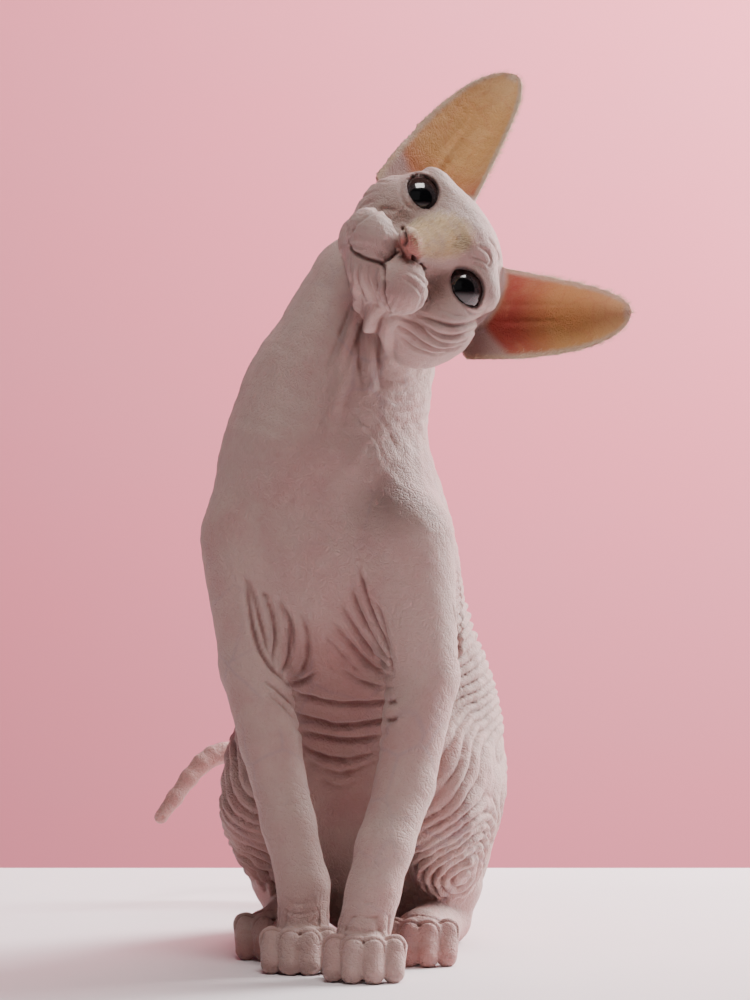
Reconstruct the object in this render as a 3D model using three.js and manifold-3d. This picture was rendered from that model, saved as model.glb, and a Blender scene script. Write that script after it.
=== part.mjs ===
// A sitting hairless cat with its head tilted, life size, in millimetres: +Z up, its face towards -Y.
// One distance function describes the whole surface; each node is a length of that surface between flat cuts.
import * as THREE from "three";
import Module from "manifold-3d";

const wasm = await Module();
wasm.setup();

// Joints between nodes
const GAP = 0.3; // clear space between two nodes that meet
const TOLERANCE = 0.02; // detail smaller than this is lost where solids are cut
const FAR = 900; // size of the blocks that make the flat cuts

// Trunk: a frame that is turned towards the viewer's right
const BODY_TURN = 14; // degrees
const BODY_AT = [-20, -12]; // the point between the shoulders, on the floor
const ELBOW_CUT = 122; // height of the cut across the elbows and the waist

// Head: a frame between the eyes, with x to the cat's left, y backwards and z up
const HEAD_AT = [29.5, -70, 313.7];
const HEAD_ROLL = 65.5;
const HEAD_YAW = 8;
const HEAD_PITCH = 15;
const EYE_AT = [21.5, 9.5, 0];
const EYE_RADIUS = 11;
const LID_RADIUS = 12.6;
const LID_OPENING = [9.25, 6.6]; // half width and half height
const EAR_BASE = [31, 32, 16];
const EAR_TIP = { left: [51.5, 44.5, 78.5], right: [-69, 52, 79.5] };
const EAR_HALF_WIDTH = { left: 20, right: 21.5 };
const EAR_DEPTH = 12; // how far the cup is hollowed at its base
const EAR_THICK = 2.2;
const EAR_ROOT = 14; // length of the ear inside the head

// Paws
const TOE_RADIUS = 4.9;
const TOE_SPREAD = [-0.385, -0.135, 0.135, 0.385]; // parts of the paw's width
const TOE_AHEAD = [-5, -0.5, 0, -4.5];
const FORE_PAWS = {
  left: { at: [-5.5, -91], turn: -4, width: 33, length: 34, height: 20 },
  right: { at: [-32, -65], turn: 2, width: 31, length: 34, height: 20 },
};
const HIND_PAWS = {
  left: { at: [18, -40], turn: -8, width: 31, length: 34, height: 21 },
  right: { at: [-44, -20], turn: 6, width: 31, length: 34, height: 21 },
};
const SIDES = { left: 1, right: -1 };

// Vectors as arrays
const add = (a, b, s = 1) => a.map((v, i) => v + b[i] * s);
const dot = (a, b) => a[0] * b[0] + a[1] * b[1] + a[2] * b[2];
const times = (a, s) => a.map((v) => v * s);
const length = (a) => Math.sqrt(dot(a, a));
const unit = (a) => times(a, 1 / length(a));
const cross = (a, b) => [
  a[1] * b[2] - a[2] * b[1],
  a[2] * b[0] - a[0] * b[2],
  a[0] * b[1] - a[1] * b[0],
];
const mixed = (a, b, t) => a + (b - a) * t;
const radians = THREE.MathUtils.degToRad;
const UP = [0, 0, 1];

const LEFT = [Math.cos(radians(BODY_TURN)), -Math.sin(radians(BODY_TURN)), 0];
const BACK = [Math.sin(radians(BODY_TURN)), Math.cos(radians(BODY_TURN)), 0];
const body = (l, b, z) => add(add([...BODY_AT, z], LEFT, l), BACK, b);

function headAxes() {
  const [r, w, t] = [HEAD_ROLL, HEAD_YAW, HEAD_PITCH].map(radians);
  const x0 = [Math.cos(r), 0, -Math.sin(r)];
  const z0 = [Math.sin(r), 0, Math.cos(r)];
  const y0 = [0, 1, 0];
  const y1 = add(times(y0, Math.cos(w)), x0, Math.sin(w));
  const x = add(times(x0, Math.cos(w)), y0, -Math.sin(w));
  const y = add(times(y1, Math.cos(t)), z0, -Math.sin(t));
  const z = add(times(z0, Math.cos(t)), y1, Math.sin(t));
  return [x, y, z];
}
const HEAD = headAxes();
const inHead = (v) => add(add(times(HEAD[0], v[0]), HEAD[1], v[1]), HEAD[2], v[2]);
const head = (x, y, z) => add(HEAD_AT, inHead([x, y, z]));

// Smooth joining of two distances over a width k
function soft(a, b, k) {
  const h = Math.max(k - Math.abs(a - b), 0) / k;
  return Math.min(a, b) - (h * h * h * k) / 6;
}

// An ellipsoid: centre, three axes as rows, three radii, and the width it blends over
function lump(centre, axes, radii, blend) {
  const reach = Math.max(...radii) + blend + 8;
  const dist = (p) => {
    const d = add(p, centre, -1);
    const u = axes.map((axis, i) => dot(d, axis) / radii[i]);
    const near = length(u);
    return (near * (near - 1)) / (length(u.map((v, i) => v / radii[i])) + 1e-6);
  };
  return { centre, reach, blend, dist };
}

// An ellipsoid between two poles, with a width across the body and a depth the third way
function mass(from, to, width, depth, blend) {
  const axis = unit(add(to, from, -1));
  const across = unit(add(LEFT, axis, -dot(LEFT, axis)));
  const radii = [width / 2, depth / 2, length(add(to, from, -1)) / 2];
  return lump(times(add(from, to), 0.5), [across, cross(axis, across), axis], radii, blend);
}

// A chain of tapered lengths
function limb(points, radii, blend) {
  return points.slice(1).map((to, i) => {
    const from = points[i];
    const span = length(add(to, from, -1));
    const axis = unit(add(to, from, -1));
    const reach = span / 2 + Math.max(radii[i], radii[i + 1]) + blend + 8;
    const dist = (p) => {
      const d = add(p, from, -1);
      const t = Math.min(Math.max(dot(d, axis) / span, 0), 1);
      return length(add(d, axis, -t * span)) - mixed(radii[i], radii[i + 1], t);
    };
    return { centre: times(add(from, to), 0.5), reach, blend, dist };
  });
}

function joined(parts, p, start = 60) {
  let d = start;
  for (const part of parts) {
    const away = add(p, part.centre, -1);
    if (dot(away, away) < part.reach * part.reach) d = soft(d, part.dist(p), part.blend);
  }
  return d;
}

// The trunk, from the rump to the top of the neck
const trunk = [
  mass(body(2, 108, -2), body(4, 78, 102), 100, 96, 20),
  mass(body(3, 92, 34), body(3, 38, 168), 118, 96, 22),
  mass(body(3, 74, 92), body(-2, -8, 242), 100, 104, 22),
  mass(body(-2, 20, 130), body(-3, -10, 232), 80, 76, 20),
  mass(body(-34, 6, 140), body(-31, 12, 246), 44, 74, 16),
  mass(body(31, 4, 140), body(24, 12, 232), 42, 70, 16),
  ...limb([body(-2, 4, 226), [-14, -8, 260], [0, -14, 292]], [44, 37.5, 31], 16),
];

const thigh = (s) => [
  mass(body(3 + s * 34, 108, 68), body(3 + s * 40, 4, 80), 50, 80, 14),
  mass(body(3 + s * 44, 24, 98), body(3 + s * 38, 58, 26), 34, 56, 12),
];

const foreleg = {
  left: limb(
    [body(34, -10, 186), [21, -30, 126], [12.9, -43, 80], [4, -56, 54], [-0.8, -62, 36], [-5, -66, 18]],
    [24, 15.5, 12.6, 12, 11.2, 11.5],
    5,
  ),
  right: limb(
    [body(-35, -10, 186), [-53, -20, 130], [-46, -28, 98], [-37.5, -36, 62], [-31, -40, 36], [-31, -40, 18]],
    [20, 15, 13, 11.4, 11, 11.3],
    5,
  ),
};

// A paw: a pad, and four toes that each rise to a knuckle and come down to the floor
function paw({ at, turn, width, length: long, height }) {
  const t = radians(turn);
  const ahead = [Math.sin(t), -Math.cos(t), 0];
  const across = [Math.cos(t), Math.sin(t), 0];
  const middle = add([...at, height * 0.5], ahead, -long * 0.58);
  const parts = [lump(middle, [across, ahead, UP], [width * 0.44, long * 0.42, height * 0.52], 4)];
  TOE_SPREAD.forEach((u, i) => {
    const place = (side, back, z) => add(add([...at, z], across, side), ahead, TOE_AHEAD[i] - back);
    const root = place(u * width * 0.86, long * 0.5, height * 0.55);
    const knuckle = place(u * width, TOE_RADIUS + 6.5, height * 0.7);
    const tip = place(u * width, TOE_RADIUS, TOE_RADIUS * 0.86);
    const radii = [TOE_RADIUS, TOE_RADIUS * 1.04, TOE_RADIUS * 0.96];
    parts.push(...limb([root, knuckle, tip], radii, 2.2));
  });
  return parts;
}

function hindleg(name) {
  const s = SIDES[name];
  const hock = body(s * 36, 71, 10.6);
  const ball = name === "left" ? [20, -14, 11] : [-43, 8, 11];
  const shank = [body(s * 40 + 2, 25, 62), body(s * 39 + 1, 62, 28), hock];
  return [...limb(shank, [18, 14, 11.2], 8), ...limb([hock, ball], [11.2, 11.6], 6), ...paw(HIND_PAWS[name])];
}

const TAIL_LINE = [
  body(4, 122, 34), [22, 134, 30], [10, 175, 34], [-20, 208, 48],
  [-50, 222, 66], [-72, 220, 74], [-88, 213, 69], [-108, 200, 43],
];
const TAIL_RADII = [11, 9.5, 7.8, 6.6, 5.7, 5.1, 4.6, 3.4];
const tail = limb(TAIL_LINE, TAIL_RADII, 4);

const atHead = (c, radii, blend) => lump(head(...c), HEAD, radii, blend);
// The skull; the skin sags towards the cat's left, where the tilted head hangs
const skull = [
  atHead([0, 37, 3], [33.5, 36, 29], 10),
  atHead([0, 9, 8], [25, 15, 15], 8),
  atHead([27, 20, -13], [18, 21, 18], 10),
  atHead([-21, 18, -9], [17, 20, 17], 10),
  atHead([14.3, -9.5, -28.8], [12, 12.5, 10.5], 4.5),
  atHead([-10.8, -9.5, -32], [12, 12.5, 10], 4.5),
  ...limb([head(1, -5, -37.5), head(15, 13, -31), head(28, 32, -18)], [8, 12, 15], 8),
  ...limb([head(0, -5, -37.5), head(-14, 12, -28), head(-22, 30, -12)], [8, 11, 13], 8),
  atHead([0, 24, -20], [24, 26, 17], 10),
  ...limb([head(0, 6, 3), head(0, -14.5, -16)], [14.5, 7], 9),
  atHead([0, -20.5, -20.5], [6.2, 5.5, 4.8], 3),
];
for (const s of [1, -1]) {
  skull.push(atHead([s * 21, 11, 9], [13, 12, 8], 6));
  skull.push(atHead([s * EYE_AT[0], EYE_AT[1], EYE_AT[2]], [LID_RADIUS, LID_RADIUS, LID_RADIUS], 3));
}

const limbs = [
  { parts: [...foreleg.left, ...paw(FORE_PAWS.left)], blend: 14 },
  { parts: [...foreleg.right, ...paw(FORE_PAWS.right)], blend: 14 },
  { parts: hindleg("left"), blend: 9 },
  { parts: hindleg("right"), blend: 9 },
  { parts: tail, blend: 10 },
];
const thighs = [thigh(1), thigh(-1)];

// Distance from the whole cat's surface, ears and eye openings apart
function surface(p) {
  let core = joined(trunk, p);
  for (const part of thighs) core = soft(core, joined(part, p), 16);
  let d = core;
  for (const { parts, blend } of limbs) d = Math.min(d, soft(core, joined(parts, p), blend));
  return soft(d, joined(skull, p), 13);
}

// The surface where dist is 0 inside a block of cells; where two folds meet inside one cell the block is moved a little
function meshOf(dist, lo, hi, cell) {
  for (let tries = 0; tries < 20; tries++) {
    const moved = lo.map((v, a) => v - ((tries * (a + 1) * 0.29) % 1) * cell);
    const { points, triangles } = netOf(dist, moved, hi, cell);
    if (!pinched(triangles, points.length)) return solid(points, triangles);
  }
  throw new Error("no closed surface between " + lo + " and " + hi);
}

// True where an edge has more than two triangles
function pinched(triangles, count) {
  const seen = new Set();
  return triangles.some((from, i) => {
    const to = triangles[i % 3 === 2 ? i - 2 : i + 1];
    const key = from * count + to;
    return seen.size === seen.add(key).size;
  });
}

// One vertex in each crossed cell, and two triangles over each crossed edge of the cells
function netOf(dist, lo, hi, cell) {
  const n = [0, 1, 2].map((a) => Math.ceil((hi[a] - lo[a]) / cell) + 1);
  const at = (i, j, k) => (i * n[1] + j) * n[2] + k;
  const value = new Float64Array(n[0] * n[1] * n[2]);
  for (let i = 0; i < n[0]; i++)
    for (let j = 0; j < n[1]; j++)
      for (let k = 0; k < n[2]; k++) {
        const rim = !i || !j || !k || i === n[0] - 1 || j === n[1] - 1 || k === n[2] - 1;
        const d = dist([lo[0] + i * cell, lo[1] + j * cell, lo[2] + k * cell]);
        value[at(i, j, k)] = rim ? Math.max(d, cell * 0.3) : d;
      }
  const vertex = new Map();
  const points = [];
  const corners = [0, 1, 2, 3, 4, 5, 6, 7].map((c) => [c & 1, (c >> 1) & 1, (c >> 2) & 1]);
  for (let i = 0; i < n[0] - 1; i++)
    for (let j = 0; j < n[1] - 1; j++)
      for (let k = 0; k < n[2] - 1; k++) {
        const v = corners.map(([a, b, c]) => value[at(i + a, j + b, k + c)]);
        const inside = v.filter((d) => d < 0).length;
        if (!inside || inside === 8) continue;
        let sum = [0, 0, 0];
        let count = 0;
        corners.forEach((from, c) => {
          [1, 2, 4].forEach((bit) => {
            if (c & bit || v[c] < 0 === v[c | bit] < 0) return;
            const t = v[c] / (v[c] - v[c | bit]);
            sum = add(sum, add(from, add(corners[c | bit], from, -1), t));
            count++;
          });
        });
        vertex.set(at(i, j, k), points.length);
        points.push(settled(dist, add(lo, add([i, j, k], sum, 1 / count), cell), cell));
      }
  const triangles = [];
  const step = [at(1, 0, 0), at(0, 1, 0), at(0, 0, 1)];
  for (let i = 0; i < n[0] - 1; i++)
    for (let j = 0; j < n[1] - 1; j++)
      for (let k = 0; k < n[2] - 1; k++) {
        const here = at(i, j, k);
        for (let a = 0; a < 3; a++) {
          if ([i, j, k].some((index, b) => b !== a && !index)) continue;
          const inside = value[here] < 0;
          if (inside === value[here + step[a]] < 0) continue;
          const u = step[(a + 1) % 3];
          const w = step[(a + 2) % 3];
          const ring = [here, here - u, here - u - w, here - w].map((c) => vertex.get(c));
          if (!inside) ring.reverse();
          const gap = (x, y) => length(add(points[ring[x]], points[ring[y]], -1));
          const split = gap(0, 2) < gap(1, 3) ? [0, 1, 2, 0, 2, 3] : [0, 1, 3, 1, 2, 3];
          triangles.push(...split.map((c) => ring[c]));
        }
      }
  return { points, triangles };
}

// Move a point along the slope onto the surface, by no more than part of a cell
function settled(dist, p, cell) {
  const e = 0.05;
  const d = dist(p);
  const slope = [0, 1, 2].map((a) => {
    const q = [...p];
    q[a] += e;
    return (dist(q) - d) / e;
  });
  const steep = length(slope);
  if (steep < 0.3) return p;
  const move = Math.min(Math.max(d / steep, -0.35 * cell), 0.35 * cell);
  return add(p, slope, -move / steep);
}

function solid(points, triangles) {
  return new wasm.Manifold(
    new wasm.Mesh({
      numProp: 3,
      vertProperties: new Float32Array(points.flat()),
      triVerts: new Uint32Array(triangles),
      tolerance: TOLERANCE,
    }),
  );
}

// A three.js geometry, placed, as a solid; corners in one step of space become one
function solidFrom(geometry, matrix = new THREE.Matrix4(), step = 1e-3) {
  const placed = geometry.clone().applyMatrix4(matrix);
  const position = placed.getAttribute("position");
  const keys = new Map();
  const points = [];
  const number = [];
  for (let i = 0; i < position.count; i++) {
    const p = [position.getX(i), position.getY(i), position.getZ(i)];
    const key = p.map((v) => Math.round(v / step)).join();
    if (!keys.has(key)) keys.set(key, points.push(p) - 1);
    number.push(keys.get(key));
  }
  const order = placed.index ? [...placed.index.array] : number.map((_, i) => i);
  const triangles = [];
  for (let i = 0; i < order.length; i += 3) {
    const t = [0, 1, 2].map((c) => number[order[i + c]]);
    if (new Set(t).size === 3) triangles.push(...t);
  }
  return solid(points, triangles);
}

function ball(centre, radius, rings) {
  const geometry = new THREE.SphereGeometry(radius, rings * 2, rings);
  return solidFrom(geometry, new THREE.Matrix4().setPosition(...centre));
}

// Everything on the inner side of a plane; grow moves the plane outwards
function halfSpace({ at, out, floor }, grow) {
  const n = unit(out);
  const centre = add(at, n, (floor ? 0 : grow) - FAR / 2);
  const turn = new THREE.Quaternion().setFromUnitVectors(new THREE.Vector3(0, 0, 1), new THREE.Vector3(...n));
  const matrix = new THREE.Matrix4().makeRotationFromQuaternion(turn).setPosition(...centre);
  return solidFrom(new THREE.BoxGeometry(FAR, FAR, FAR), matrix);
}
const zoneSolid = (zone, grow) => wasm.Manifold.intersection(zone.map((plane) => halfSpace(plane, grow)));

// A closed skin through rings of points that all have the same count, with flat ends
function loft(rings) {
  const m = rings[0].length;
  const points = rings.flat();
  const triangles = [];
  for (let i = 0; i < rings.length - 1; i++)
    for (let j = 0; j < m; j++) {
      const [a, b] = [i * m + j, i * m + ((j + 1) % m)];
      triangles.push(a, b, b + m, a, b + m, a + m);
    }
  const last = (rings.length - 1) * m;
  for (let j = 1; j < m - 1; j++) triangles.push(0, j + 1, j, last, last + j, last + j + 1);
  const made = solid(points, triangles);
  return made.volume() > 0 ? made : solid(points, triangles.reverse());
}

// The zones, and the planes that bound them
const above = (z) => ({ at: [0, 0, z], out: [0, 0, -1], floor: z === 0 });
const below = (z) => ({ at: [0, 0, z], out: UP });
const leftOf = (l) => ({ at: body(l, 0, 0), out: times(LEFT, -1) });
const rightOf = (l) => ({ at: body(l, 0, 0), out: LEFT });
const inFrontOf = (b) => ({ at: body(0, b, 0), out: BACK });
const behind = (b) => ({ at: body(0, b, 0), out: times(BACK, -1) });
const aheadOfBelly = (b, lean) => ({ at: body(0, b, 20), out: add(BACK, UP, -lean) });
const midline = (out) => ({ at: [-17.5, -63, 0], out: [out, -out * 0.25, 0] });
const NECK_CUT = { at: [-16, -6, 240], out: [-0.15, -0.12, 1] };
const HEAD_CUT = { at: [2, -14, 284], out: [0.42, -0.3, 0.86] };
const facing = ({ at, out }) => ({ at, out: times(out, -1) });
const acrossTail = (i) => ({ at: TAIL_LINE[i], out: add(TAIL_LINE[i + 1], TAIL_LINE[i - 1], -1) });

const foreZone = (name, top) => [
  above(0),
  below(top),
  name === "left" ? midline(-1) : midline(1),
  name === "left" ? aheadOfBelly(-28, 0.31) : aheadOfBelly(-15.5, 0.16),
];
const outside = (name, l) => (name === "left" ? leftOf(l) : rightOf(-l));

const SKIN = new THREE.MeshStandardMaterial({ name: "skin", color: 0xcdb1ac, roughness: 0.6 });
const EYES = new THREE.MeshStandardMaterial({ name: "eyes", color: 0x3a3438, roughness: 0.08 });

// name, zone, block of cells (low and high corner), cell size
const pieces = [];
const piece = (name, zone, lo, hi, cell) => pieces.push({ name, zone, lo, hi, cell });
for (const name of ["left", "right"]) {
  const [x, y] = FORE_PAWS[name].at;
  piece("paw_fore_" + name, foreZone(name, 24), [x - 22, y - 6, -3], [x + 22, y + 48, 30], 4);
}
piece("foreleg_lower_left", foreZone("left", ELBOW_CUT), [-26, -86, 18], [48, 4, 130], 6.6);
piece("foreleg_lower_right", foreZone("right", ELBOW_CUT), [-78, -62, 18], [-14, 8, 130], 6.6);
for (const name of ["left", "right"]) {
  const [x, y] = HIND_PAWS[name].at;
  const b = name === "left" ? 11 : 17.5;
  piece("paw_hind_" + name, [above(0), below(30), outside(name, 8), inFrontOf(b)], [x - 22, y - 6, -3], [x + 22, y + 48, 34], 4);
}
for (const name of ["left", "right"]) {
  const s = SIDES[name];
  const [x, y] = body(s * 38, 45, 0);
  piece("foot_hind_" + name, [above(0), below(24), outside(name, 19), inFrontOf(80)], [x - 34, y - 50, -4], [x + 34, y + 50, 30], 7);
}
piece("tail_end", [behind(120), facing(acrossTail(5))]);
piece("tail_middle", [behind(120), facing(acrossTail(3))]);
piece("tail_base", [behind(120), facing(acrossTail(1))], [-32, 110, 12], [46, 226, 66], 5.4);
for (const name of ["left", "right"]) {
  const s = SIDES[name];
  const [x, y] = body(s * 54, 54, 0);
  piece("thigh_" + name, [above(0), below(ELBOW_CUT), outside(name, 32)], [x - 46, y - 84, -6], [x + 46, y + 84, 130], 10.5);
}
piece("abdomen", [above(0), below(ELBOW_CUT)], [-64, -30, -8], [60, 146, 134], 12);
for (const name of ["left", "right"]) {
  const s = SIDES[name];
  const [x, y] = body(s * 40, 0, 0);
  piece("shoulder_" + name, [above(ELBOW_CUT), below(206), outside(name, 24), inFrontOf(32)], [x - 34, y - 56, 112], [x + 34, y + 56, 214], 10);
}
piece("torso", [above(ELBOW_CUT), NECK_CUT], [-88, -70, 108], [74, 96, 266], 12);
piece("neck", [facing(NECK_CUT), HEAD_CUT], [-76, -66, 222], [54, 46, 318], 10);
piece("head", [facing(HEAD_CUT)], [-34, -112, 240], [74, 24, 362], 4.4);

// The line of a mouth or a nostril, cut into the head as a thin groove; x and z are as seen from the front, at the head
const VIEWPOINT = [0, -1500, 203];
function onFace(x, z) {
  const way = unit(add([x, HEAD_AT[1], z], VIEWPOINT, -1));
  let p = add([x, HEAD_AT[1], z], way, -60);
  for (let i = 0; i < 80; i++) {
    const d = surface(p);
    if (d < 0.01) break;
    p = add(p, way, Math.max(d * 0.8, 0.01));
  }
  return p;
}
function groove(line, radius, sides = 6) {
  const rings = line.map((p, i) => {
    const along = unit(add(line[Math.min(i + 1, line.length - 1)], line[Math.max(i - 1, 0)], -1));
    const u = unit(cross(along, HEAD[1]));
    const w = cross(along, u);
    const r = i && i < line.length - 1 ? radius : radius * 0.4;
    return Array.from({ length: sides }, (_, j) => {
      const t = (j / sides) * Math.PI * 2;
      return add(add(p, u, Math.cos(t) * r), w, Math.sin(t) * r * 1.5);
    });
  });
  return loft(rings);
}

// The tail behind its base, as one tapered tube with a round end
const TAIL_SIDES = 12;
const TAIL_RINGS = 34;
function tailTube() {
  const line = new THREE.CatmullRomCurve3(TAIL_LINE.map((p) => new THREE.Vector3(...p)));
  const rings = [];
  for (let i = 0; i <= TAIL_RINGS; i++) {
    const t = i < TAIL_RINGS - 2 ? i / (TAIL_RINGS - 3) : 1;
    const knot = t * (TAIL_LINE.length - 1);
    const low = Math.min(Math.floor(knot), TAIL_LINE.length - 2);
    const along = line.getTangent(t).toArray();
    const u = unit(cross(along, UP));
    const w = cross(along, u);
    const cap = Math.max(i - TAIL_RINGS + 3, 0) * 0.33;
    const base = mixed(TAIL_RADII[low], TAIL_RADII[low + 1], knot - low);
    const middle = add(line.getPoint(t).toArray(), along, base * cap);
    const r = base * Math.sqrt(1 - cap * cap);
    rings.push(
      Array.from({ length: TAIL_SIDES }, (_, j) => {
        const a = (j / TAIL_SIDES) * Math.PI * 2;
        return add(add(middle, u, Math.cos(a) * r), w, Math.sin(a) * r);
      }),
    );
  }
  return loft(rings);
}
const freeTail = tailTube();

const curve = (knots, count) =>
  Array.from({ length: count }, (_, i) => {
    const line = new THREE.CatmullRomCurve3(knots.map(([x, z]) => new THREE.Vector3(x, z, 0)));
    const p = line.getPoint(i / (count - 1));
    return onFace(p.x, p.y);
  });
const MOUTH = [[-11.5, 313], [-9.2, 308.5], [-3.6, 305.8], [3.2, 303.2], [4, 295.2], [4.2, 287], [7, 282.5]];
const PHILTRUM = [[10, 308], [6.5, 305.4], [3.6, 303.6]];
const NOSTRILS = [
  [[11.7, 318.5], [12.5, 315.4], [13, 312.4]],
  [[15.7, 306.3], [17.8, 303.6], [20.7, 301.3]],
];

const eyeCentre = (s) => head(s * EYE_AT[0], EYE_AT[1], EYE_AT[2]);
function lidOpening(s) {
  const gaze = unit([s * 0.16, -1, 0.02]);
  const raw = [s, 0, 0.16];
  const across = unit(add(raw, gaze, -dot(raw, gaze)));
  const up = cross(gaze, across);
  const [wide, high] = LID_OPENING;
  const bend = (wide * wide + high * high) / (2 * high);
  const outline = [];
  for (const side of [1, -1])
    for (let i = 0; i < 9; i++) {
      const u = wide * Math.cos((i / 9) * Math.PI) * side;
      outline.push([u, (Math.sqrt(bend * bend - u * u) - bend + high) * side]);
    }
  return loft(
    [3, 20].map((depth) =>
      outline.map(([u, v]) => {
        const scale = mixed(1, 1.12, (depth - 3) / 17);
        return add(eyeCentre(s), inHead(add(add(times(gaze, depth), across, u * scale), up, v * scale)));
      }),
    ),
  );
}

// An ear: a hollowed leaf of even thickness whose outer edge is fuller than its inner edge
function earAxes(side) {
  const s = SIDES[side];
  const base = [s * EAR_BASE[0], EAR_BASE[1], EAR_BASE[2]];
  const tip = EAR_TIP[side];
  const along = unit(add(tip, base, -1));
  const raw = [s * 26.5, 9, -31.5];
  const across = unit(add(raw, along, -dot(raw, along)));
  const back = times(cross(along, across), s);
  return { base, along, across, back: back[1] > 0 ? back : times(back, -1), long: length(add(tip, base, -1)) };
}
function ear(name) {
  const { base, along, across, back, long } = earAxes(name);
  const steps = 8;
  const rows = 10;
  const rings = [];
  for (let i = 0; i < rows; i++) {
    const t = mixed(-EAR_ROOT / long, 0.985, Math.sin(((i / (rows - 1)) * Math.PI) / 2));
    const full = Math.max(t, 0);
    const rounding = Math.sqrt(1 - full ** 7);
    const end = EAR_HALF_WIDTH[name] * rounding;
    const inner = end * (1 - 0.58 * full);
    const outer = end * (1 - 0.45 * full * full);
    const depth = EAR_DEPTH * (1 - full) ** 0.8 + 2.5 * rounding;
    const ring = [];
    for (const side of [1, -1])
      for (let j = 0; j <= steps; j++) {
        const q = (1 - (2 * j) / steps) * side;
        const half = q < 0 ? inner : outer;
        const cup = depth * (1 - q * q) - 0.35 * depth;
        const slope = (2 * depth * q) / half;
        const thin = (EAR_THICK / 2) * (Math.abs(q) > 0.99 ? 0.45 : 1) * side;
        const lean = 1 / Math.sqrt(1 + slope * slope);
        const w = q * (half - 0.4) + slope * lean * thin;
        const n = cup + lean * thin;
        ring.push(add(add(add(base, along, t * long), across, w), back, n));
      }
    rings.push(ring.map((p) => add(HEAD_AT, inHead(p))));
  }
  return loft(rings);
}

function geometryOf(made) {
  const data = made.getMesh();
  const geometry = new THREE.BufferGeometry();
  geometry.setAttribute("position", new THREE.BufferAttribute(new Float32Array(data.vertProperties), 3));
  geometry.setIndex(new THREE.BufferAttribute(new Uint32Array(data.triVerts), 1));
  return geometry;
}

// The main body of a cut solid, without the crumbs a cut can leave
function largest(made, step = 1e-3) {
  const bodies = solidFrom(geometryOf(made), undefined, step).decompose();
  return bodies.sort((a, b) => b.volume() - a.volume())[0];
}

function meshFor(name, made, material) {
  const geometry = geometryOf(made);
  geometry.computeVertexNormals();
  const mesh = new THREE.Mesh(geometry, material);
  mesh.name = name;
  return mesh;
}

const cat = new THREE.Group();
const taken = [];
for (const { name, zone, lo, hi, cell } of pieces) {
  const whole = cell ? meshOf(surface, lo, hi, cell) : freeTail;
  let made = whole.intersect(zoneSolid(zone, -GAP / 2));
  if (taken.length) made = made.subtract(wasm.Manifold.union(taken));
  taken.push(zoneSolid(zone, GAP / 2));
  if (name === "head") {
    const cuts = [groove(curve(MOUTH, 14), 0.9), groove(curve(PHILTRUM, 4), 0.7)];
    for (const line of NOSTRILS) cuts.push(groove(curve(line, 4), 1));
    for (const s of [1, -1]) cuts.push(ball(eyeCentre(s), EYE_RADIUS + GAP, 9), lidOpening(s));
    made = made.subtract(wasm.Manifold.union(cuts));
  }
  cat.add(meshFor(name, largest(made), SKIN));
}
const headRoom = meshOf((p) => surface(p) - GAP, [-34, -112, 240], [74, 24, 362], 4.4);
for (const [name, s] of Object.entries(SIDES)) {
  cat.add(meshFor("ear_" + name, largest(ear(name).subtract(headRoom), 0.06), SKIN));
  cat.add(meshFor("eye_" + name, ball(eyeCentre(s), EYE_RADIUS, 9), EYES));
}

// The origin is the middle of the model's box, on the floor
cat.updateMatrixWorld(true);
const box = new THREE.Box3().setFromObject(cat);
cat.position.set(-(box.min.x + box.max.x) / 2, -(box.min.y + box.max.y) / 2, 0);

export default cat;
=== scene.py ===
"""The fine surface of a sitting hairless cat: folded skin, eyes, claws and down, on a pale table top."""

import math

import bpy
import numpy as np
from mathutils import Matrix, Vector


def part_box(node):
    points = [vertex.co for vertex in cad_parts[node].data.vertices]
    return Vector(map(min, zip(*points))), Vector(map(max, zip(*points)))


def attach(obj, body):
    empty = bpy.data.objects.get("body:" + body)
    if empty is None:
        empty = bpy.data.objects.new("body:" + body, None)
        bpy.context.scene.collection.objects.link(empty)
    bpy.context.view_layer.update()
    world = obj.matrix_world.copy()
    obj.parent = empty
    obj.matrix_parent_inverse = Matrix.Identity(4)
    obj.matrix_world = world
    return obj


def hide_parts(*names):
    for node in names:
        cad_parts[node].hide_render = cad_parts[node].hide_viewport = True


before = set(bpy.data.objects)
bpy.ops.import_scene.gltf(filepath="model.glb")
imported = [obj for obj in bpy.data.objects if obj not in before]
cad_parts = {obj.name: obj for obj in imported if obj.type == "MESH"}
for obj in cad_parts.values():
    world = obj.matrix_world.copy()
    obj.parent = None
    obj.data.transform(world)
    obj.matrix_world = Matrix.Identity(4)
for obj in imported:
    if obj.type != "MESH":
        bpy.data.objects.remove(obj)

bl_info = {
    "name": "Sitting Hairless Cat",
    "version": (1, 0, 0),
    "blender": (4, 5, 0),
    "location": "3D View > Sidebar > Cat",
    "description": "Builds the skin, eyes, claws and down of a sitting hairless cat",
    "category": "Add Mesh",
}

# Sizes are in millimetres until a mesh is made
METRE = 0.001
GRID_LOW = (-124, -116, -4)
GRID_HIGH = (126, 236, 416)
FAR = 60.0
BODY_TURN = 14
BODY_AT = np.array([-20.0, -12.0, 0.0])
HEAD_AT = np.array([29.5, -70.0, 313.7])
HEAD_ROLL = 65.5
HEAD_YAW = 8
HEAD_PITCH = 15
EYE_AT = (21.5, 9.5, 0.0)
EYE_RADIUS = 11.0
LID_RADIUS = 12.6
# Half the width and height of the lids' opening, and how deep its hidden edge lies in the eyeball
LID_OPENING = (9.25, 6.6)
LID_SUNK = 1.1
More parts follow.
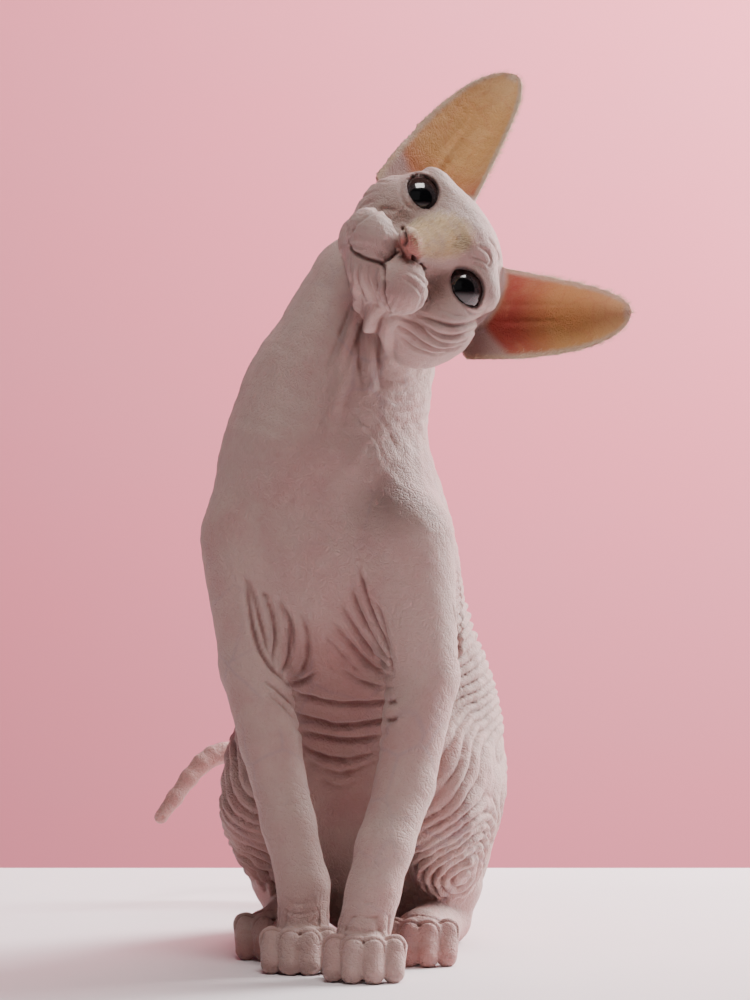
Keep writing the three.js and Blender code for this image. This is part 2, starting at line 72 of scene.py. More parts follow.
# The pads that carry the whiskers; the left one is the lower one in the tilted head
PAD_LEFT = (14.3, -9.5, -28.8)
PAD_RIGHT = (-10.8, -9.5, -32)
EAR_BASE = (31, 32, 16)
EAR_TIPS = {1: (51.5, 44.5, 78.5), -1: (69, 52, 79.5)}
EAR_HALF_WIDTHS = {1: 20, -1: 21.5}
EAR_DEPTH = 12
EAR_THICK = 2.0
# The ears are thicker in the first coarse net, so that no cell jumps over them
EAR_THICK_COARSE = 3.6
THIGH_BLEND = 16
HEAD_BLEND = 13
TOE_RADIUS = 4.9
TOE_SPREAD = (-0.385, -0.135, 0.135, 0.385)
TOE_AHEAD = (-5, -0.5, 0, -4.5)
PAWS = {
    "fore_left": dict(at=(-5.5, -91), turn=-4, width=33, height=20),
    "fore_right": dict(at=(-32, -65), turn=2, width=31, height=20),
    "hind_left": dict(at=(18, -40), turn=-8, width=31, height=21),
    "hind_right": dict(at=(-44, -20), turn=6, width=31, height=21),
}
PAW_LONG = 34
CAMERA_AT = np.array([0.0, -1500.0, 203.0])
CAMERA_LENS = 121.3
# The cat's left side, then its right side
SIDES = (1, -1)
# The number of hairs on the ears' edges, and again on the nose's bridge, and each one's patch on the map
HAIRS = 5200
HAIR_PATCH = 0.003
# The stage in metres: where the table ends behind the cat, and how far the backdrop stands
TABLE_EDGE = 0.359
TABLE_SIZE = (5, 3.944)
BACKDROP_SIZE = (9, 6)
BACKDROP_AT = 1.9
# A hollow beside the nape on the cat's right, and the swell under it: place in x and z, height and spread
NAPE_SHAPE = (((-50, 285), -4.2, 16), ((-60, 254), 2.2, 14))


def unit(v):
    """The direction of a vector."""
    v = np.asarray(v, float)
    return v / np.linalg.norm(v)


UP = np.array([0.0, 0.0, 1.0])
LEFT = np.array([math.cos(math.radians(BODY_TURN)), -math.sin(math.radians(BODY_TURN)), 0.0])
BACK = np.array([math.sin(math.radians(BODY_TURN)), math.cos(math.radians(BODY_TURN)), 0.0])


def body(left, back, up):
    """A place given in the turned body's own directions."""
    return BODY_AT + left * LEFT + back * BACK + up * UP


def head_axes():
    """The head's left, back and up directions."""
    roll, yaw, pitch = (math.radians(a) for a in (HEAD_ROLL, HEAD_YAW, HEAD_PITCH))
    x = np.array([math.cos(roll), 0, -math.sin(roll)])
    z = np.array([math.sin(roll), 0, math.cos(roll)])
    y = np.array([0, 1.0, 0])
    y, x = y * math.cos(yaw) + x * math.sin(yaw), x * math.cos(yaw) - y * math.sin(yaw)
    y, z = y * math.cos(pitch) - z * math.sin(pitch), z * math.cos(pitch) + y * math.sin(pitch)
    return np.array([x, y, z])


HEAD = head_axes()


def head(x, y, z):
    """A place given in the tilted head's own directions."""
    return HEAD_AT + np.array([x, y, z], float) @ HEAD


def to_head(points):
    """Points in the tilted head's own directions."""
    return (points - HEAD_AT) @ HEAD.T


def soft(a, b, width):
    """The smaller of two distances, rounded over a width."""
    h = np.maximum(width - np.abs(a - b), 0) / width
    return np.minimum(a, b) - h * h * h * width / 6


def carve(a, b, width):
    """What is left of a where b is taken away."""
    return -soft(-a, b, width)


class Lump:
    """An ellipsoid: centre, axes as rows, radii and the width it blends over."""

    def __init__(self, centre, axes, radii, blend):
        self.centre, self.axes = np.asarray(centre, float), np.asarray(axes)
        self.radii, self.blend = radii, blend
        reach = np.sqrt(sum((np.abs(self.axes[i]) * radii[i]) ** 2 for i in range(3)))
        self.low, self.high = self.centre - reach, self.centre + reach

    def distance(self, x, y, z):
        x, y, z = x - self.centre[0], y - self.centre[1], z - self.centre[2]
        near = steep = 0
        for axis, radius in zip(self.axes, self.radii):
            u = (x * axis[0] + y * axis[1] + z * axis[2]) / radius
            near = near + u * u
            steep = steep + (u / radius) ** 2
        near = np.sqrt(near)
        return near * (near - 1) / (np.sqrt(steep) + 1e-6)


class Length:
    """A tapered length between two points."""

    def __init__(self, start, end, radii, blend):
        self.start, self.end = np.asarray(start, float), np.asarray(end, float)
        self.radii, self.blend = radii, blend
        self.low = np.minimum(self.start, self.end) - max(radii)
        self.high = np.maximum(self.start, self.end) + max(radii)

    def distance(self, x, y, z):
        way = self.end - self.start
        x, y, z = x - self.start[0], y - self.start[1], z - self.start[2]
        t = np.clip((x * way[0] + y * way[1] + z * way[2]) / (way @ way), 0, 1)
        x, y, z = x - t * way[0], y - t * way[1], z - t * way[2]
        return np.sqrt(x * x + y * y + z * z) - (self.radii[0] + (self.radii[1] - self.radii[0]) * t)


def mass(start, end, width, depth, blend):
    """An ellipsoid between two poles."""
    axis = unit(end - start)
    across = unit(LEFT - axis * (LEFT @ axis))
    radii = (width / 2, depth / 2, np.linalg.norm(end - start) / 2)
    return Lump((start + end) / 2, (across, np.cross(axis, across), axis), radii, blend)


def limb(points, radii, blend):
    """Tapered lengths from point to point."""
    return [Length(a, b, r, blend) for a, b, r in zip(points, points[1:], zip(radii, radii[1:]))]


def paw_frame(name):
    """The point between the toes' tips, and the paw's ahead and across directions."""
    paw = PAWS[name]
    turn = math.radians(paw["turn"])
    ahead = np.array([math.sin(turn), -math.cos(turn), 0])
    return np.array([*paw["at"], 0.0]), ahead, np.array([math.cos(turn), math.sin(turn), 0])


def toe_line(name, toe):
    """Root, knuckle and tip of one toe."""
    at, ahead, across = paw_frame(name)
    width, height = PAWS[name]["width"], PAWS[name]["height"]
    side, out = TOE_SPREAD[toe] * width, TOE_AHEAD[toe]
    root = at + across * side * 0.86 + ahead * (out - PAW_LONG * 0.5) + UP * height * 0.55
    knuckle = at + across * side + ahead * (out - TOE_RADIUS - 6.5) + UP * height * 0.7
    tip = at + across * side + ahead * (out - TOE_RADIUS) + UP * TOE_RADIUS * 0.86
    return [root, knuckle, tip]


def paw_parts(name):
    """The body of a paw and its four toes."""
    at, ahead, across = paw_frame(name)
    width, height = PAWS[name]["width"], PAWS[name]["height"]
    middle = at - ahead * PAW_LONG * 0.58 + UP * height * 0.5
    parts = [Lump(middle, (across, ahead, UP), (width * 0.44, PAW_LONG * 0.42, height * 0.52), 4)]
    for toe in range(4):
        parts += limb(toe_line(name, toe), [TOE_RADIUS, TOE_RADIUS * 1.04, TOE_RADIUS * 0.96], 2.2)
    return parts


TRUNK = [
    mass(body(2, 108, -2), body(4, 78, 102), 100, 96, 20),
    mass(body(3, 92, 34), body(3, 38, 168), 118, 96, 22),
    mass(body(3, 74, 92), body(-2, -8, 242), 100, 104, 22),
    mass(body(-2, 20, 130), body(-3, -10, 232), 80, 76, 20),
    mass(body(-34, 6, 140), body(-31, 12, 246), 44, 74, 16),
    mass(body(31, 4, 140), body(24, 12, 232), 42, 70, 16),
    *limb([body(-2, 4, 226), (-14, -8, 260), (0, -14, 292)], [44, 37.5, 31], 16),
]
THIGHS = [
    [
        mass(body(3 + s * 34, 108, 68), body(3 + s * 40, 4, 80), 50, 80, 14),
        mass(body(3 + s * 44, 24, 98), body(3 + s * 38, 58, 26), 34, 56, 12),
    ]
    for s in SIDES
]
FORELEGS = {
    "fore_left": limb(
        [
            body(34, -10, 186),
            (21, -30, 126),
            (12.9, -43, 80),
            (4, -56, 54),
            (-0.8, -62, 36),
            (-5, -66, 18),
        ],
        [24, 15.5, 12.6, 12, 11.2, 11.5],
        5,
    ),
    "fore_right": limb(
        [
            body(-35, -10, 186),
            (-53, -20, 130),
            (-46, -28, 98),
            (-37.5, -36, 62),
            (-31, -40, 36),
            (-31, -40, 18),
        ],
        [20, 15, 13, 11.4, 11, 11.3],
        5,
    ),
}
TAIL_LINE = [
    body(4, 122, 34),
    (22, 134, 30),
    (10, 175, 34),
    (-20, 208, 48),
    (-50, 222, 66),
    (-72, 220, 74),
    (-88, 213, 69),
    (-108, 200, 43),
]
TAIL_RADII = [11, 9.5, 7.8, 6.6, 5.7, 5.1, 4.6, 3.4]


def rounded_line(points, radii, count):
    """A smooth line through points, with radii between theirs."""
    points = np.array([np.asarray(p, float) for p in points])
    ends = np.vstack([2 * points[0] - points[1], points, 2 * points[-1] - points[-2]])
    line, sizes = [], []
    for u in np.linspace(0, len(points) - 1, count):
        i = min(int(u), len(points) - 2)
        t = u - i
        a, b, c, d = ends[i : i + 4]
        square, cube = 2 * a - 5 * b + 4 * c - d, 3 * b - a - 3 * c + d
        line.append(0.5 * (2 * b + (c - a) * t + square * t * t + cube * t**3))
        sizes.append(radii[i] + (radii[i + 1] - radii[i]) * t)
    return line, sizes


def hind_parts(name, s):
    """A hind leg below its thigh; the left foot lies further forward than the right one."""
    hock = body(s * 36, 71, 10.6)
    ball = (20, -14, 11) if s > 0 else (-43, 8, 11)
    shank = [body(s * 40 + 2, 25, 62), body(s * 39 + 1, 62, 28), hock]
    return limb(shank, [18, 14, 11.2], 8) + limb([hock, ball], [11.2, 11.6], 6) + paw_parts(name)


LIMBS = [
    (FORELEGS["fore_left"] + paw_parts("fore_left"), 14),
    (FORELEGS["fore_right"] + paw_parts("fore_right"), 14),
    (hind_parts("hind_left", 1), 9),
    (hind_parts("hind_right", -1), 9),
    (limb(*rounded_line(TAIL_LINE, TAIL_RADII, 22), 4), 10),
]


def on_head(centre, radii, blend):
    """An ellipsoid placed and turned with the head."""
    return Lump(head(*centre), HEAD, radii, blend)


def skull_parts():
    """The head; its skin sags towards the cat's left, where the tilted head hangs."""
    parts = [on_head((0, 37, 3), (33.5, 36, 29), 10), on_head((0, 9, 8), (25, 15, 15), 8)]
    parts += [
        on_head((27, 20, -13), (18, 21, 18), 10),
        on_head((-21, 18, -9), (17, 20, 17), 10),
        on_head(PAD_LEFT, (12, 12.5, 10.5), 4.5),
        on_head(PAD_RIGHT, (12, 12.5, 10), 4.5),
        *limb([head(1, -5, -37.5), head(15, 13, -31), head(28, 32, -18)], [8, 12, 15], 8),
        *limb([head(0, -5, -37.5), head(-14, 12, -28), head(-22, 30, -12)], [8, 11, 13], 8),
    ]
    for s in SIDES:
        parts += [
            on_head((s * 21, 11, 9), (13, 12, 8), 6),
            on_head((s * EYE_AT[0], *EYE_AT[1:]), (LID_RADIUS,) * 3, 3),
        ]
    parts += limb([head(0, 6, 3), head(0, -14.5, -16)], [14.5, 7], 9)
    parts += [on_head((0, -20.5, -20.5), (6.2, 5.5, 4.8), 3), on_head((0, 24, -20), (24, 26, 17), 10)]
    return parts


SKULL = skull_parts()


def ear_frame(s):
    """Base, directions along, across and back, and the length, all in the head's frame."""
    base, tip = (np.array([s * at[0], *at[1:]], float) for at in (EAR_BASE, EAR_TIPS[s]))
    along = unit(tip - base)
    across = np.array([s * 26.5, 9, -31.5])
    across = unit(across - along * (across @ along))
    back = np.cross(along, across)
    return base, along, across, back * np.sign(back[1]), np.linalg.norm(tip - base)


def ear_place(points, s):
    """How far points are along an ear, across it, behind its middle sheet and past its edge, and its length.

    Along runs from 0 to 1, and across from -1 at the inner edge to 1 at the outer edge.
    """
    base, along, across, back, long = ear_frame(s)
    local = points - base
    u = local @ along / long
    t = np.clip(u, 0, 1)
    w = local @ across
    rounding = np.sqrt(1 - t**7)
    end = EAR_HALF_WIDTHS[s] * rounding
    inner = end * (1 - 0.58 * t)
    outer = end * (1 - 0.45 * t * t)
    half = np.maximum(np.where(w < 0, inner, outer), 0.4)
    q = np.clip(w / half, -1.2, 1.2)
    depth = EAR_DEPTH * (1 - t) ** 0.8 + 2.5 * rounding
    behind = local @ back - depth * (1 - q * q) + 0.35 * depth
    lean = 1 / np.sqrt(1 + (2 * depth * q / half) ** 2)
    edge = np.maximum((np.abs(w) - half) * 0.8, (u - 1) * long * 0.5)
    return u, q, behind * lean, edge, long


class Ear:
    """A hollowed leaf of even thickness."""

    blend = 3.5

    def __init__(self, s, thick):
        self.side, self.thick = s, thick
        base, along, across, back, long = ear_frame(s)
        corners = [
            HEAD_AT + (base + along * a + across * b + back * c) @ HEAD
            for a in (-15, long + 2)
            for b in (-24, 24)
            for c in (-10, 16)
        ]
        self.low, self.high = np.min(corners, 0), np.max(corners, 0)

    def distance(self, x, y, z):
        points = np.stack(np.broadcast_arrays(x, y, z), -1)
        u, _, behind, edge, long = ear_place(to_head(points), self.side)
        edge = np.maximum(edge + EAR_THICK / 2, 0)
        return np.maximum(np.sqrt(behind**2 + edge**2) - self.thick / 2, -u * long - 14)


def eye_frame(s):
    """Gaze, across and up directions of an eye, in the head's frame."""
    gaze = unit([s * 0.16, -1, 0.02])
    across = np.array([s, 0, 0.16])
    across = unit(across - gaze * (across @ gaze))
    up = np.cross(across, gaze)
    return gaze, across, up * np.sign(up[2])


def eye_centre(s):
    """The middle of an eyeball."""
    return head(s * EYE_AT[0], *EYE_AT[1:])


class Opening:
    """The almond between the lids, in front of a ball that stays hidden in the eye."""

    blend = 1.0

    def __init__(self, s):
        self.side = s
        centre = eye_centre(s)
        self.low, self.high = centre - 22, centre + 22

    def almond(self, d):
        """How far outside the almond points are, from their places round the eye's middle."""
        gaze, across, up = (v @ HEAD for v in eye_frame(self.side))
        wide, high = LID_OPENING
        bend = (wide * wide + high * high) / (2 * high)
        edge = np.sqrt((d @ across) ** 2 + (np.abs(d @ up) + bend - high) ** 2) - bend
        return np.maximum(edge, 2 - d @ gaze)

    def distance(self, x, y, z):
        centre = eye_centre(self.side)
        d = np.stack(np.broadcast_arrays(x - centre[0], y - centre[1], z - centre[2]), -1)
        return np.maximum(self.almond(d), EYE_RADIUS - LID_SUNK - np.linalg.norm(d, axis=-1))


class Grid:
    """Samples at the corners of a block of cells."""

    def __init__(self, low, high, step):
        self.low, self.step = np.asarray(low, float), step
        self.shape = tuple(np.ceil((np.asarray(high) - self.low) / step).astype(int) + 1)

    def near(self, low, high):
        first = np.clip(np.floor((low - self.low) / self.step).astype(int), 0, self.shape)
        last = np.clip(np.ceil((high - self.low) / self.step).astype(int) + 1, 0, self.shape)
        x, y, z = (
            (self.low[a] + self.step * np.arange(first[a], last[a])).astype(np.float32) for a in range(3)
        )
        part = tuple(slice(a, b) for a, b in zip(first, last))
        return part, x[:, None, None], y[None, :, None], z[None, None, :]


class Cloud:
    """Samples at free points."""

    def __init__(self, points):
        self.points, self.shape = points, (len(points),)

    def near(self, low, high):
        part = np.nonzero(((self.points > low) & (self.points < high)).all(1))[0]
        x, y, z = self.points[part].T
        return part, x, y, z


def joined(samples, parts):
    """Distance from parts that blend into each other, up to FAR."""
    return join_to(np.full(samples.shape, FAR, np.float32), samples, parts)


def join_to(total, samples, parts, combine=soft):
    """Blend parts into a distance, each only where its box is near."""
    for part in parts:
        margin = part.blend + 8
        index, x, y, z = samples.near(part.low - margin, part.high + margin)
        if x.size and y.size and z.size:
            total[index] = combine(total[index], part.distance(x, y, z), part.blend)
    return total


def trunk_distance(samples):
    """Distance from the trunk with both thighs."""
    trunk = joined(samples, TRUNK)
    for parts in THIGHS:
        trunk = soft(trunk, joined(samples, parts), THIGH_BLEND)
    return trunk


def body_distance(samples, ear_thick=EAR_THICK, lids=True):
    """Distance from the cat's smooth surface, before its folds."""
    trunk = trunk_distance(samples)
    total = trunk.copy()
    for parts, blend in LIMBS:
        total = np.minimum(total, soft(trunk, joined(samples, parts), blend))
    total = soft(total, joined(samples, SKULL), HEAD_BLEND)
    join_to(total, samples, [Ear(s, ear_thick) for s in SIDES])
    if lids:
        join_to(total, samples, [Opening(s) for s in SIDES], carve)
    return total


def net(values, grid):
    """One vertex in each crossed cell and a quad over each crossed edge."""
    inside = values < 0
    n = np.array(values.shape)
    count = np.zeros(tuple(n - 1), np.uint8)
    corners = [(a, b, c) for a in (0, 1) for b in (0, 1) for c in (0, 1)]
    for a, b, c in corners:
        count += inside[a : n[0] - 1 + a, b : n[1] - 1 + b, c : n[2] - 1 + c]
    cells = np.argwhere((count > 0) & (count < 8))
    number = np.full(count.shape, -1, np.int32)
    number[tuple(cells.T)] = np.arange(len(cells))
    value = {c: values[cells[:, 0] + c[0], cells[:, 1] + c[1], cells[:, 2] + c[2]] for c in corners}
    total, hits = np.zeros((len(cells), 3)), np.zeros(len(cells))
    for corner in corners:
        for axis in range(3):
            if corner[axis]:
                continue
            other = tuple(1 if a == axis else corner[a] for a in range(3))
            a, b = value[corner], value[other]
            crossed = (a < 0) != (b < 0)
            place = np.tile(np.array(corner, float), (len(cells), 1))
            place[:, axis] = np.where(crossed, a / np.where(crossed, a - b, 1), 0)
            total[crossed] += place[crossed]
            hits[crossed] += 1
    vertices = (cells + total / hits[:, None]) * grid.step + grid.low
    quads = []
    for axis in range(3):
        u, w = (axis + 1) % 3, (axis + 2) % 3
        low, high = [slice(None)] * 3, [slice(None)] * 3
        low[axis], high[axis] = slice(0, n[axis] - 1), slice(1, n[axis])
        first = inside[tuple(low)]
        edges = np.argwhere(first != inside[tuple(high)])
        for side in (u, w):
            edges = edges[(edges[:, side] > 0) & (edges[:, side] < n[side] - 1)]
        ring = []
        for du, dw in ((0, 0), (1, 0), (1, 1), (0, 1)):
            cell = edges.copy()
            cell[:, u] -= du
            cell[:, w] -= dw
            ring.append(number[tuple(cell.T)])
        ring = np.stack(ring, 1)
        quads.append(np.where(first[tuple(edges.T)][:, None], ring, ring[:, ::-1]))
    return vertices, np.concatenate(quads)


def split(vertices, quads, chosen):
    """Split the chosen quads in four; a neighbour takes the new point on a shared edge as a corner."""
    edges = np.sort(np.stack([quads, np.roll(quads, -1, 1)], -1), -1)
    keys = edges[..., 0].astype(np.int64) * len(vertices) + edges[..., 1]
    wanted, place = np.unique(keys[chosen], return_inverse=True)
    middles = np.stack([wanted // len(vertices), wanted % len(vertices)], 1)
    start = len(vertices)
    middle_points = vertices[middles].mean(1)
    centres = vertices[quads[chosen]].mean(1)
    c = start + len(wanted) + np.arange(len(centres))
    q, e = quads[chosen], start + place.reshape(-1, 4)
    small = [np.stack([q[:, i], e[:, i], c, e[:, i - 1]], 1) for i in range(4)]
    rest, rest_keys = quads[~chosen], keys[~chosen]
    found = np.searchsorted(wanted, rest_keys)
    found = np.where(found < len(wanted), found, 0)
    shared = wanted[found] == rest_keys
    plain = ~shared.any(1)
    odd = []
    rows = (rest[~plain], shared[~plain], start + found[~plain])
    for corners, marks, extras in zip(*(row.tolist() for row in rows)):
        ring = []
        for corner, mark, extra in zip(corners, marks, extras):
            ring.append(corner)
            if mark:
                ring.append(extra)
        odd.append(ring)
    return np.vstack([vertices, middle_points, centres]), np.vstack([rest[plain], *small]), odd


def slope(points, distance, step=0.06):
    """Distance and its gradient at points."""
    here = distance(points)
    there = [distance(points + step * np.eye(3)[a]) for a in range(3)]
    return here, np.stack([(t - here) / step for t in there], 1)


def settle(points, limit, rounds=2):
    """Move points onto the smooth surface and return them with their outward directions."""
    points = points.copy()
    for _ in range(rounds):
        here, way = slope(points, lambda p: body_distance(Cloud(p)))
        steep = np.maximum((way**2).sum(1), 0.09)
        points -= way * np.clip(here / steep, -limit, limit)[:, None]
    _, way = slope(points, lambda p: body_distance(Cloud(p)))
    return points, way / np.maximum(np.linalg.norm(way, axis=1), 1e-6)[:, None]


# Places in the front view are in thousandths of its height, from its top left corner
VIEW_MIDDLE = (375, 500)
VIEW_FOCUS = 3370
NOSE_SEEN = (411, 247)
BRIDGE_SEEN = (440, 236)
SMUDGE_SEEN = (462, 244)
BELLY_SEEN = (342, 720)

# Folds of the skin: depth and width in millimetres, then places in the front view
# The first four of the face are the mouth, the groove under the nose and the nostrils
FACE_CREASES = [
    (
        1.5,
        1.0,
        [(348, 241), (353, 251), (366, 258), (382, 263), (384, 273), (384, 284), (385, 300), (391, 313)],
    ),
    (1.0, 0.8, [(399, 252), (391, 258), (382, 263)]),
    (2.6, 1.0, [(402.5, 227), (404, 232), (405, 237), (405.5, 242), (404, 245)]),
    (2.6, 1.0, [(411, 255), (414, 259), (418, 263), (421, 266), (425, 269)]),
    (1.4, 1.3, [(416, 314), (433, 320), (452, 325), (468, 324), (482, 318), (491, 311)]),
    (1.2, 1.2, [(391, 315), (408, 320), (421, 327), (429, 336), (443, 344), (459, 344), (468, 338)]),
    (1.2, 1.2, [(412, 316), (426, 326), (437, 333), (450, 336), (463, 334), (479, 327), (488, 318)]),
    (1.2, 1.2, [(398, 326), (411, 334), (424, 344), (439, 350), (453, 349), (466, 344)]),
    (1.0, 1.2, [(398, 334), (408, 344), (420, 351), (434, 354), (446, 353)]),
    (1.0, 1.1, [(488, 238), (496, 248), (499, 259), (495, 269)]),
    (0.8, 1.0, [(478, 246), (488, 252), (491, 261), (487, 268)]),
    (0.6, 0.9, [(470, 256), (479, 259), (487, 264)]),
    (0.6, 0.9, [(472, 262), (480, 266), (487, 271)]),
    (0.7, 1.0, [(462, 291), (466, 300), (474, 308), (484, 309)]),
    (0.7, 1.0, [(459, 296), (463, 305), (473, 313), (485, 312)]),
    (0.7, 1.0, [(402, 182), (401, 193), (405, 204), (412, 210)]),
    (0.8, 1.1, [(344, 245), (341, 256), (346, 275), (350, 293), (357, 306)]),
    (0.8, 1.0, [(352, 256), (350, 268), (352, 283), (358, 300)]),
    (0.9, 1.0, [(360, 262), (357, 275), (360, 289), (366, 302)]),
    (0.9, 1.0, [(369, 264), (368, 277), (373, 292), (378, 306)]),
    (0.9, 1.1, [(377, 268), (376, 281), (378, 294), (383, 305), (388, 313)]),
    (0.8, 1.2, [(350, 236), (357, 224), (370, 214), (384, 209), (396, 212)]),
    (0.6, 1.2, [(346, 229), (351, 217), (362, 206), (374, 201)]),
    (0.5, 1.1, [(349, 216), (356, 203), (367, 194), (380, 191)]),
    (0.5, 1.1, [(358, 198), (366, 188), (377, 182), (390, 182)]),
    (0.8, 1.1, [(402, 277), (412, 283), (420, 291), (422, 301), (417, 310)]),
    (0.6, 1.0, [(408, 271), (420, 278), (428, 288), (430, 300), (425, 311)]),
    (0.6, 1.0, [(432, 297), (440, 307), (452, 314), (466, 316)]),
]
NECK_CORDS = [
    (2.2, 2.2, [(354, 283), (357, 300), (355, 315), (350, 330), (341, 353), (334, 372)]),
    (2.6, 2.4, [(378, 306), (371, 317), (368, 335), (368, 352), (370, 372), (374, 392)]),
    (1.2, 2.2, [(392, 318), (386, 334), (387, 352), (394, 372)]),
    (0.9, 2.6, [(352, 352), (343, 376), (335, 402), (329, 430)]),
]
NECK_CREASES = [
    (0.9, 1.5, [(378, 374), (392, 382), (410, 376), (429, 362)]),
    (0.9, 1.5, [(380, 384), (396, 391), (413, 386), (430, 374)]),
    (0.8, 1.5, [(384, 396), (399, 401), (415, 396), (430, 387)]),
    (0.7, 1.5, [(386, 408), (401, 412), (417, 408), (432, 400)]),
    (0.6, 1.5, [(392, 420), (405, 424), (420, 420), (434, 413)]),
    (0.5, 1.3, [(362, 398), (376, 412), (389, 432), (398, 452)]),
    (0.5, 1.3, [(421, 404), (408, 421), (392, 436), (371, 447)]),
    (0.4, 1.3, [(429, 424), (413, 440), (395, 452), (378, 458)]),
    (0.4, 1.3, [(352, 410), (366, 426), (379, 446), (386, 466)]),
]
ARMPIT_CREASES = [
    (2.4, 1.5, [(245, 575), (249, 605), (256, 640), (269, 665), (287, 682)]),
    (2.2, 1.4, [(249, 577), (257, 610), (265, 640), (272, 664)]),
    (2.0, 1.5, [(260, 586), (271, 611), (276, 635), (274, 656), (276, 669)]),
    (2.2, 1.6, [(275, 596), (289, 620), (291, 644), (288, 662), (281, 674)]),
    (1.8, 1.7, [(300, 612), (307, 640), (305, 664), (295, 679), (283, 675)]),
    (2.6, 1.6, [(284, 684), (296, 684), (306, 680), (319, 671)]),
    (1.4, 1.3, [(262, 680), (274, 688), (290, 702), (296, 712)]),
    (1.2, 1.3, [(262, 690), (275, 699), (288, 711), (297, 722)]),
    (2.2, 1.5, [(357, 562), (365, 593), (375, 620), (386, 646), (393, 672)]),
    (2.2, 1.5, [(350, 586), (361, 616), (375, 641), (392, 666)]),
    (2.0, 1.5, [(340, 602), (355, 629), (372, 653), (393, 671)]),
    (1.8, 1.6, [(329, 620), (346, 639), (365, 660), (379, 671), (395, 677)]),
    (1.6, 1.7, [(334, 664), (355, 679), (374, 686), (395, 688)]),
    (1.6, 1.4, [(369, 594), (379, 610), (386, 634), (394, 658)]),
    (1.2, 1.6, [(322, 634), (338, 652), (353, 668), (368, 679)]),
    (1.6, 1.3, [(457, 570), (461, 604), (460, 639), (459, 663)]),
    (1.4, 1.3, [(452, 602), (456, 620), (459, 645), (457, 672)]),
]
BELLY_CREASES = [
    (2.2, 1.8, [(288, 692), (310, 698), (341, 704), (389, 702), (396, 700)]),
    (2.4, 1.7, [(292, 714), (315, 720), (341, 726), (388, 720), (398, 717)]),
    (2.2, 1.7, [(294, 728), (315, 735), (341, 740), (366, 739), (390, 733)]),
    (2.0, 1.7, [(298, 744), (318, 755), (341, 760), (362, 757), (388, 747)]),
    (1.4, 1.9, [(303, 758), (322, 769), (341, 774), (362, 768), (384, 757)]),
    (0.9, 1.9, [(312, 776), (328, 784), (343, 787), (358, 782), (372, 774)]),
]
WRIST_CREASES = [
    (0.7, 1.0, [(284, 898), (296, 903), (310, 901), (322, 895)]),
    (0.7, 1.0, [(283, 909), (296, 914), (312, 912), (328, 905)]),
    (0.7, 1.0, [(349, 896), (362, 902), (378, 901), (392, 895)]),
    (0.7, 1.0, [(342, 910), (356, 916), (374, 917), (391, 912)]),
    (0.7, 1.1, [(334, 926), (350, 930), (368, 932), (388, 928)]),
    (0.5, 1.1, [(374, 790), (392, 796), (412, 793), (430, 784)]),
    (0.5, 1.1, [(262, 800), (280, 806), (297, 804), (312, 797)]),
]


def waves(points, size, seed):
    """Smooth noise from a few sine waves, about -1 to 1."""
    random = np.random.default_rng(seed)
    total = np.zeros(len(points))
    for _ in range(7):
        way = unit(random.normal(size=3)) * random.uniform(0.6, 1.5) / size
        total += np.sin(points @ way * 2 * math.pi + random.uniform(0, 2 * math.pi))
    return total / 3.2


def ramp(value, low, high):
    """0 at low and 1 at high, eased."""
    t = np.clip((value - low) / (high - low), 0, 1)
    return t * t * (3 - 2 * t)


def bell(value):
    """1 at 0, falling away on both sides."""
    return np.exp(-(value**2))


def front_view(points):
    """Where points are seen in the front view."""
    scale = VIEW_FOCUS / (points[:, 1] - CAMERA_AT[1])
    across = VIEW_MIDDLE[0] + (points[:, 0] - CAMERA_AT[0]) * scale
    return across, VIEW_MIDDLE[1] - (points[:, 2] - CAMERA_AT[2]) * scale


def on_skin(places):
    """The skin's points that are seen at places of the front view."""
    places = np.asarray(places, float)
    across, down = (places - VIEW_MIDDLE).T
    way = np.stack([across, np.full(len(places), VIEW_FOCUS), -down], 1)
    way /= np.linalg.norm(way, axis=1)[:, None]
    far = np.full(len(places), 1340.0)
    for _ in range(60):
        gap = body_distance(Cloud(CAMERA_AT + way * far[:, None]), lids=False)
        far += np.clip(gap, -1, 9) * np.where(far < 1700, 0.85, 0)
    return CAMERA_AT + way * far[:, None]


def lines_on_skin(folds, count=18):
    """Smooth lines on the skin from a table of folds."""
    flat = []
    for *_, places in folds:
        line, _ = rounded_line([(x, y, 0) for x, y in places], [0] * len(places), count)
        flat += [(p[0], p[1]) for p in line]
    return on_skin(flat).reshape(len(folds), count, 3)


def line_distance(points, line, reach):
    """The points within reach of a line, their distance from it and their place along it, 0 to 1."""
    near = np.nonzero(((points > line.min(0) - reach) & (points < line.max(0) + reach)).all(1))[0]
    best = np.full(len(near), 1e9)
    along = np.zeros(len(near))
    p = points[near]
    for i, (a, b) in enumerate(zip(line, line[1:])):
        way = b - a
        t = np.clip((p - a) @ way / max(way @ way, 1e-9), 0, 1)
        d = np.linalg.norm(p - a - t[:, None] * way, axis=1)
        closer = d < best
        best[closer] = d[closer]
        along[closer] = (i + t[closer]) / (len(line) - 1)
    return near, best, along


def add_creases(lift, points, folds, ends=0.5, strength=1.0):
    """Sink a narrow valley along each line, between slightly raised banks."""
    for (depth, width, _), line in zip(folds, lines_on_skin(folds)):
        near, d, along = line_distance(points, line, width * 4)
        fade = np.sin(along * math.pi) ** ends
        lift[near] += strength * depth * fade * (0.35 * bell(d / width / 2.2) - bell(d / width))


def add_cords(lift, points, folds):
    """Raise a rounded cord along each line, with a gutter on each side."""
    for (height, width, _), line in zip(folds, lines_on_skin(folds)):
        near, d, along = line_distance(points, line, width * 3)
        fade = np.sin(along * math.pi) ** 0.5
        lift[near] += height * fade * (bell(d / width) - 0.5 * bell((d / width - 1.7) / 0.6))


def body_place(points):
    """Places to the left of the body's middle, behind its front and above the floor."""
    local = points - BODY_AT
    return local @ LEFT - 3, local @ BACK, points[:, 2]


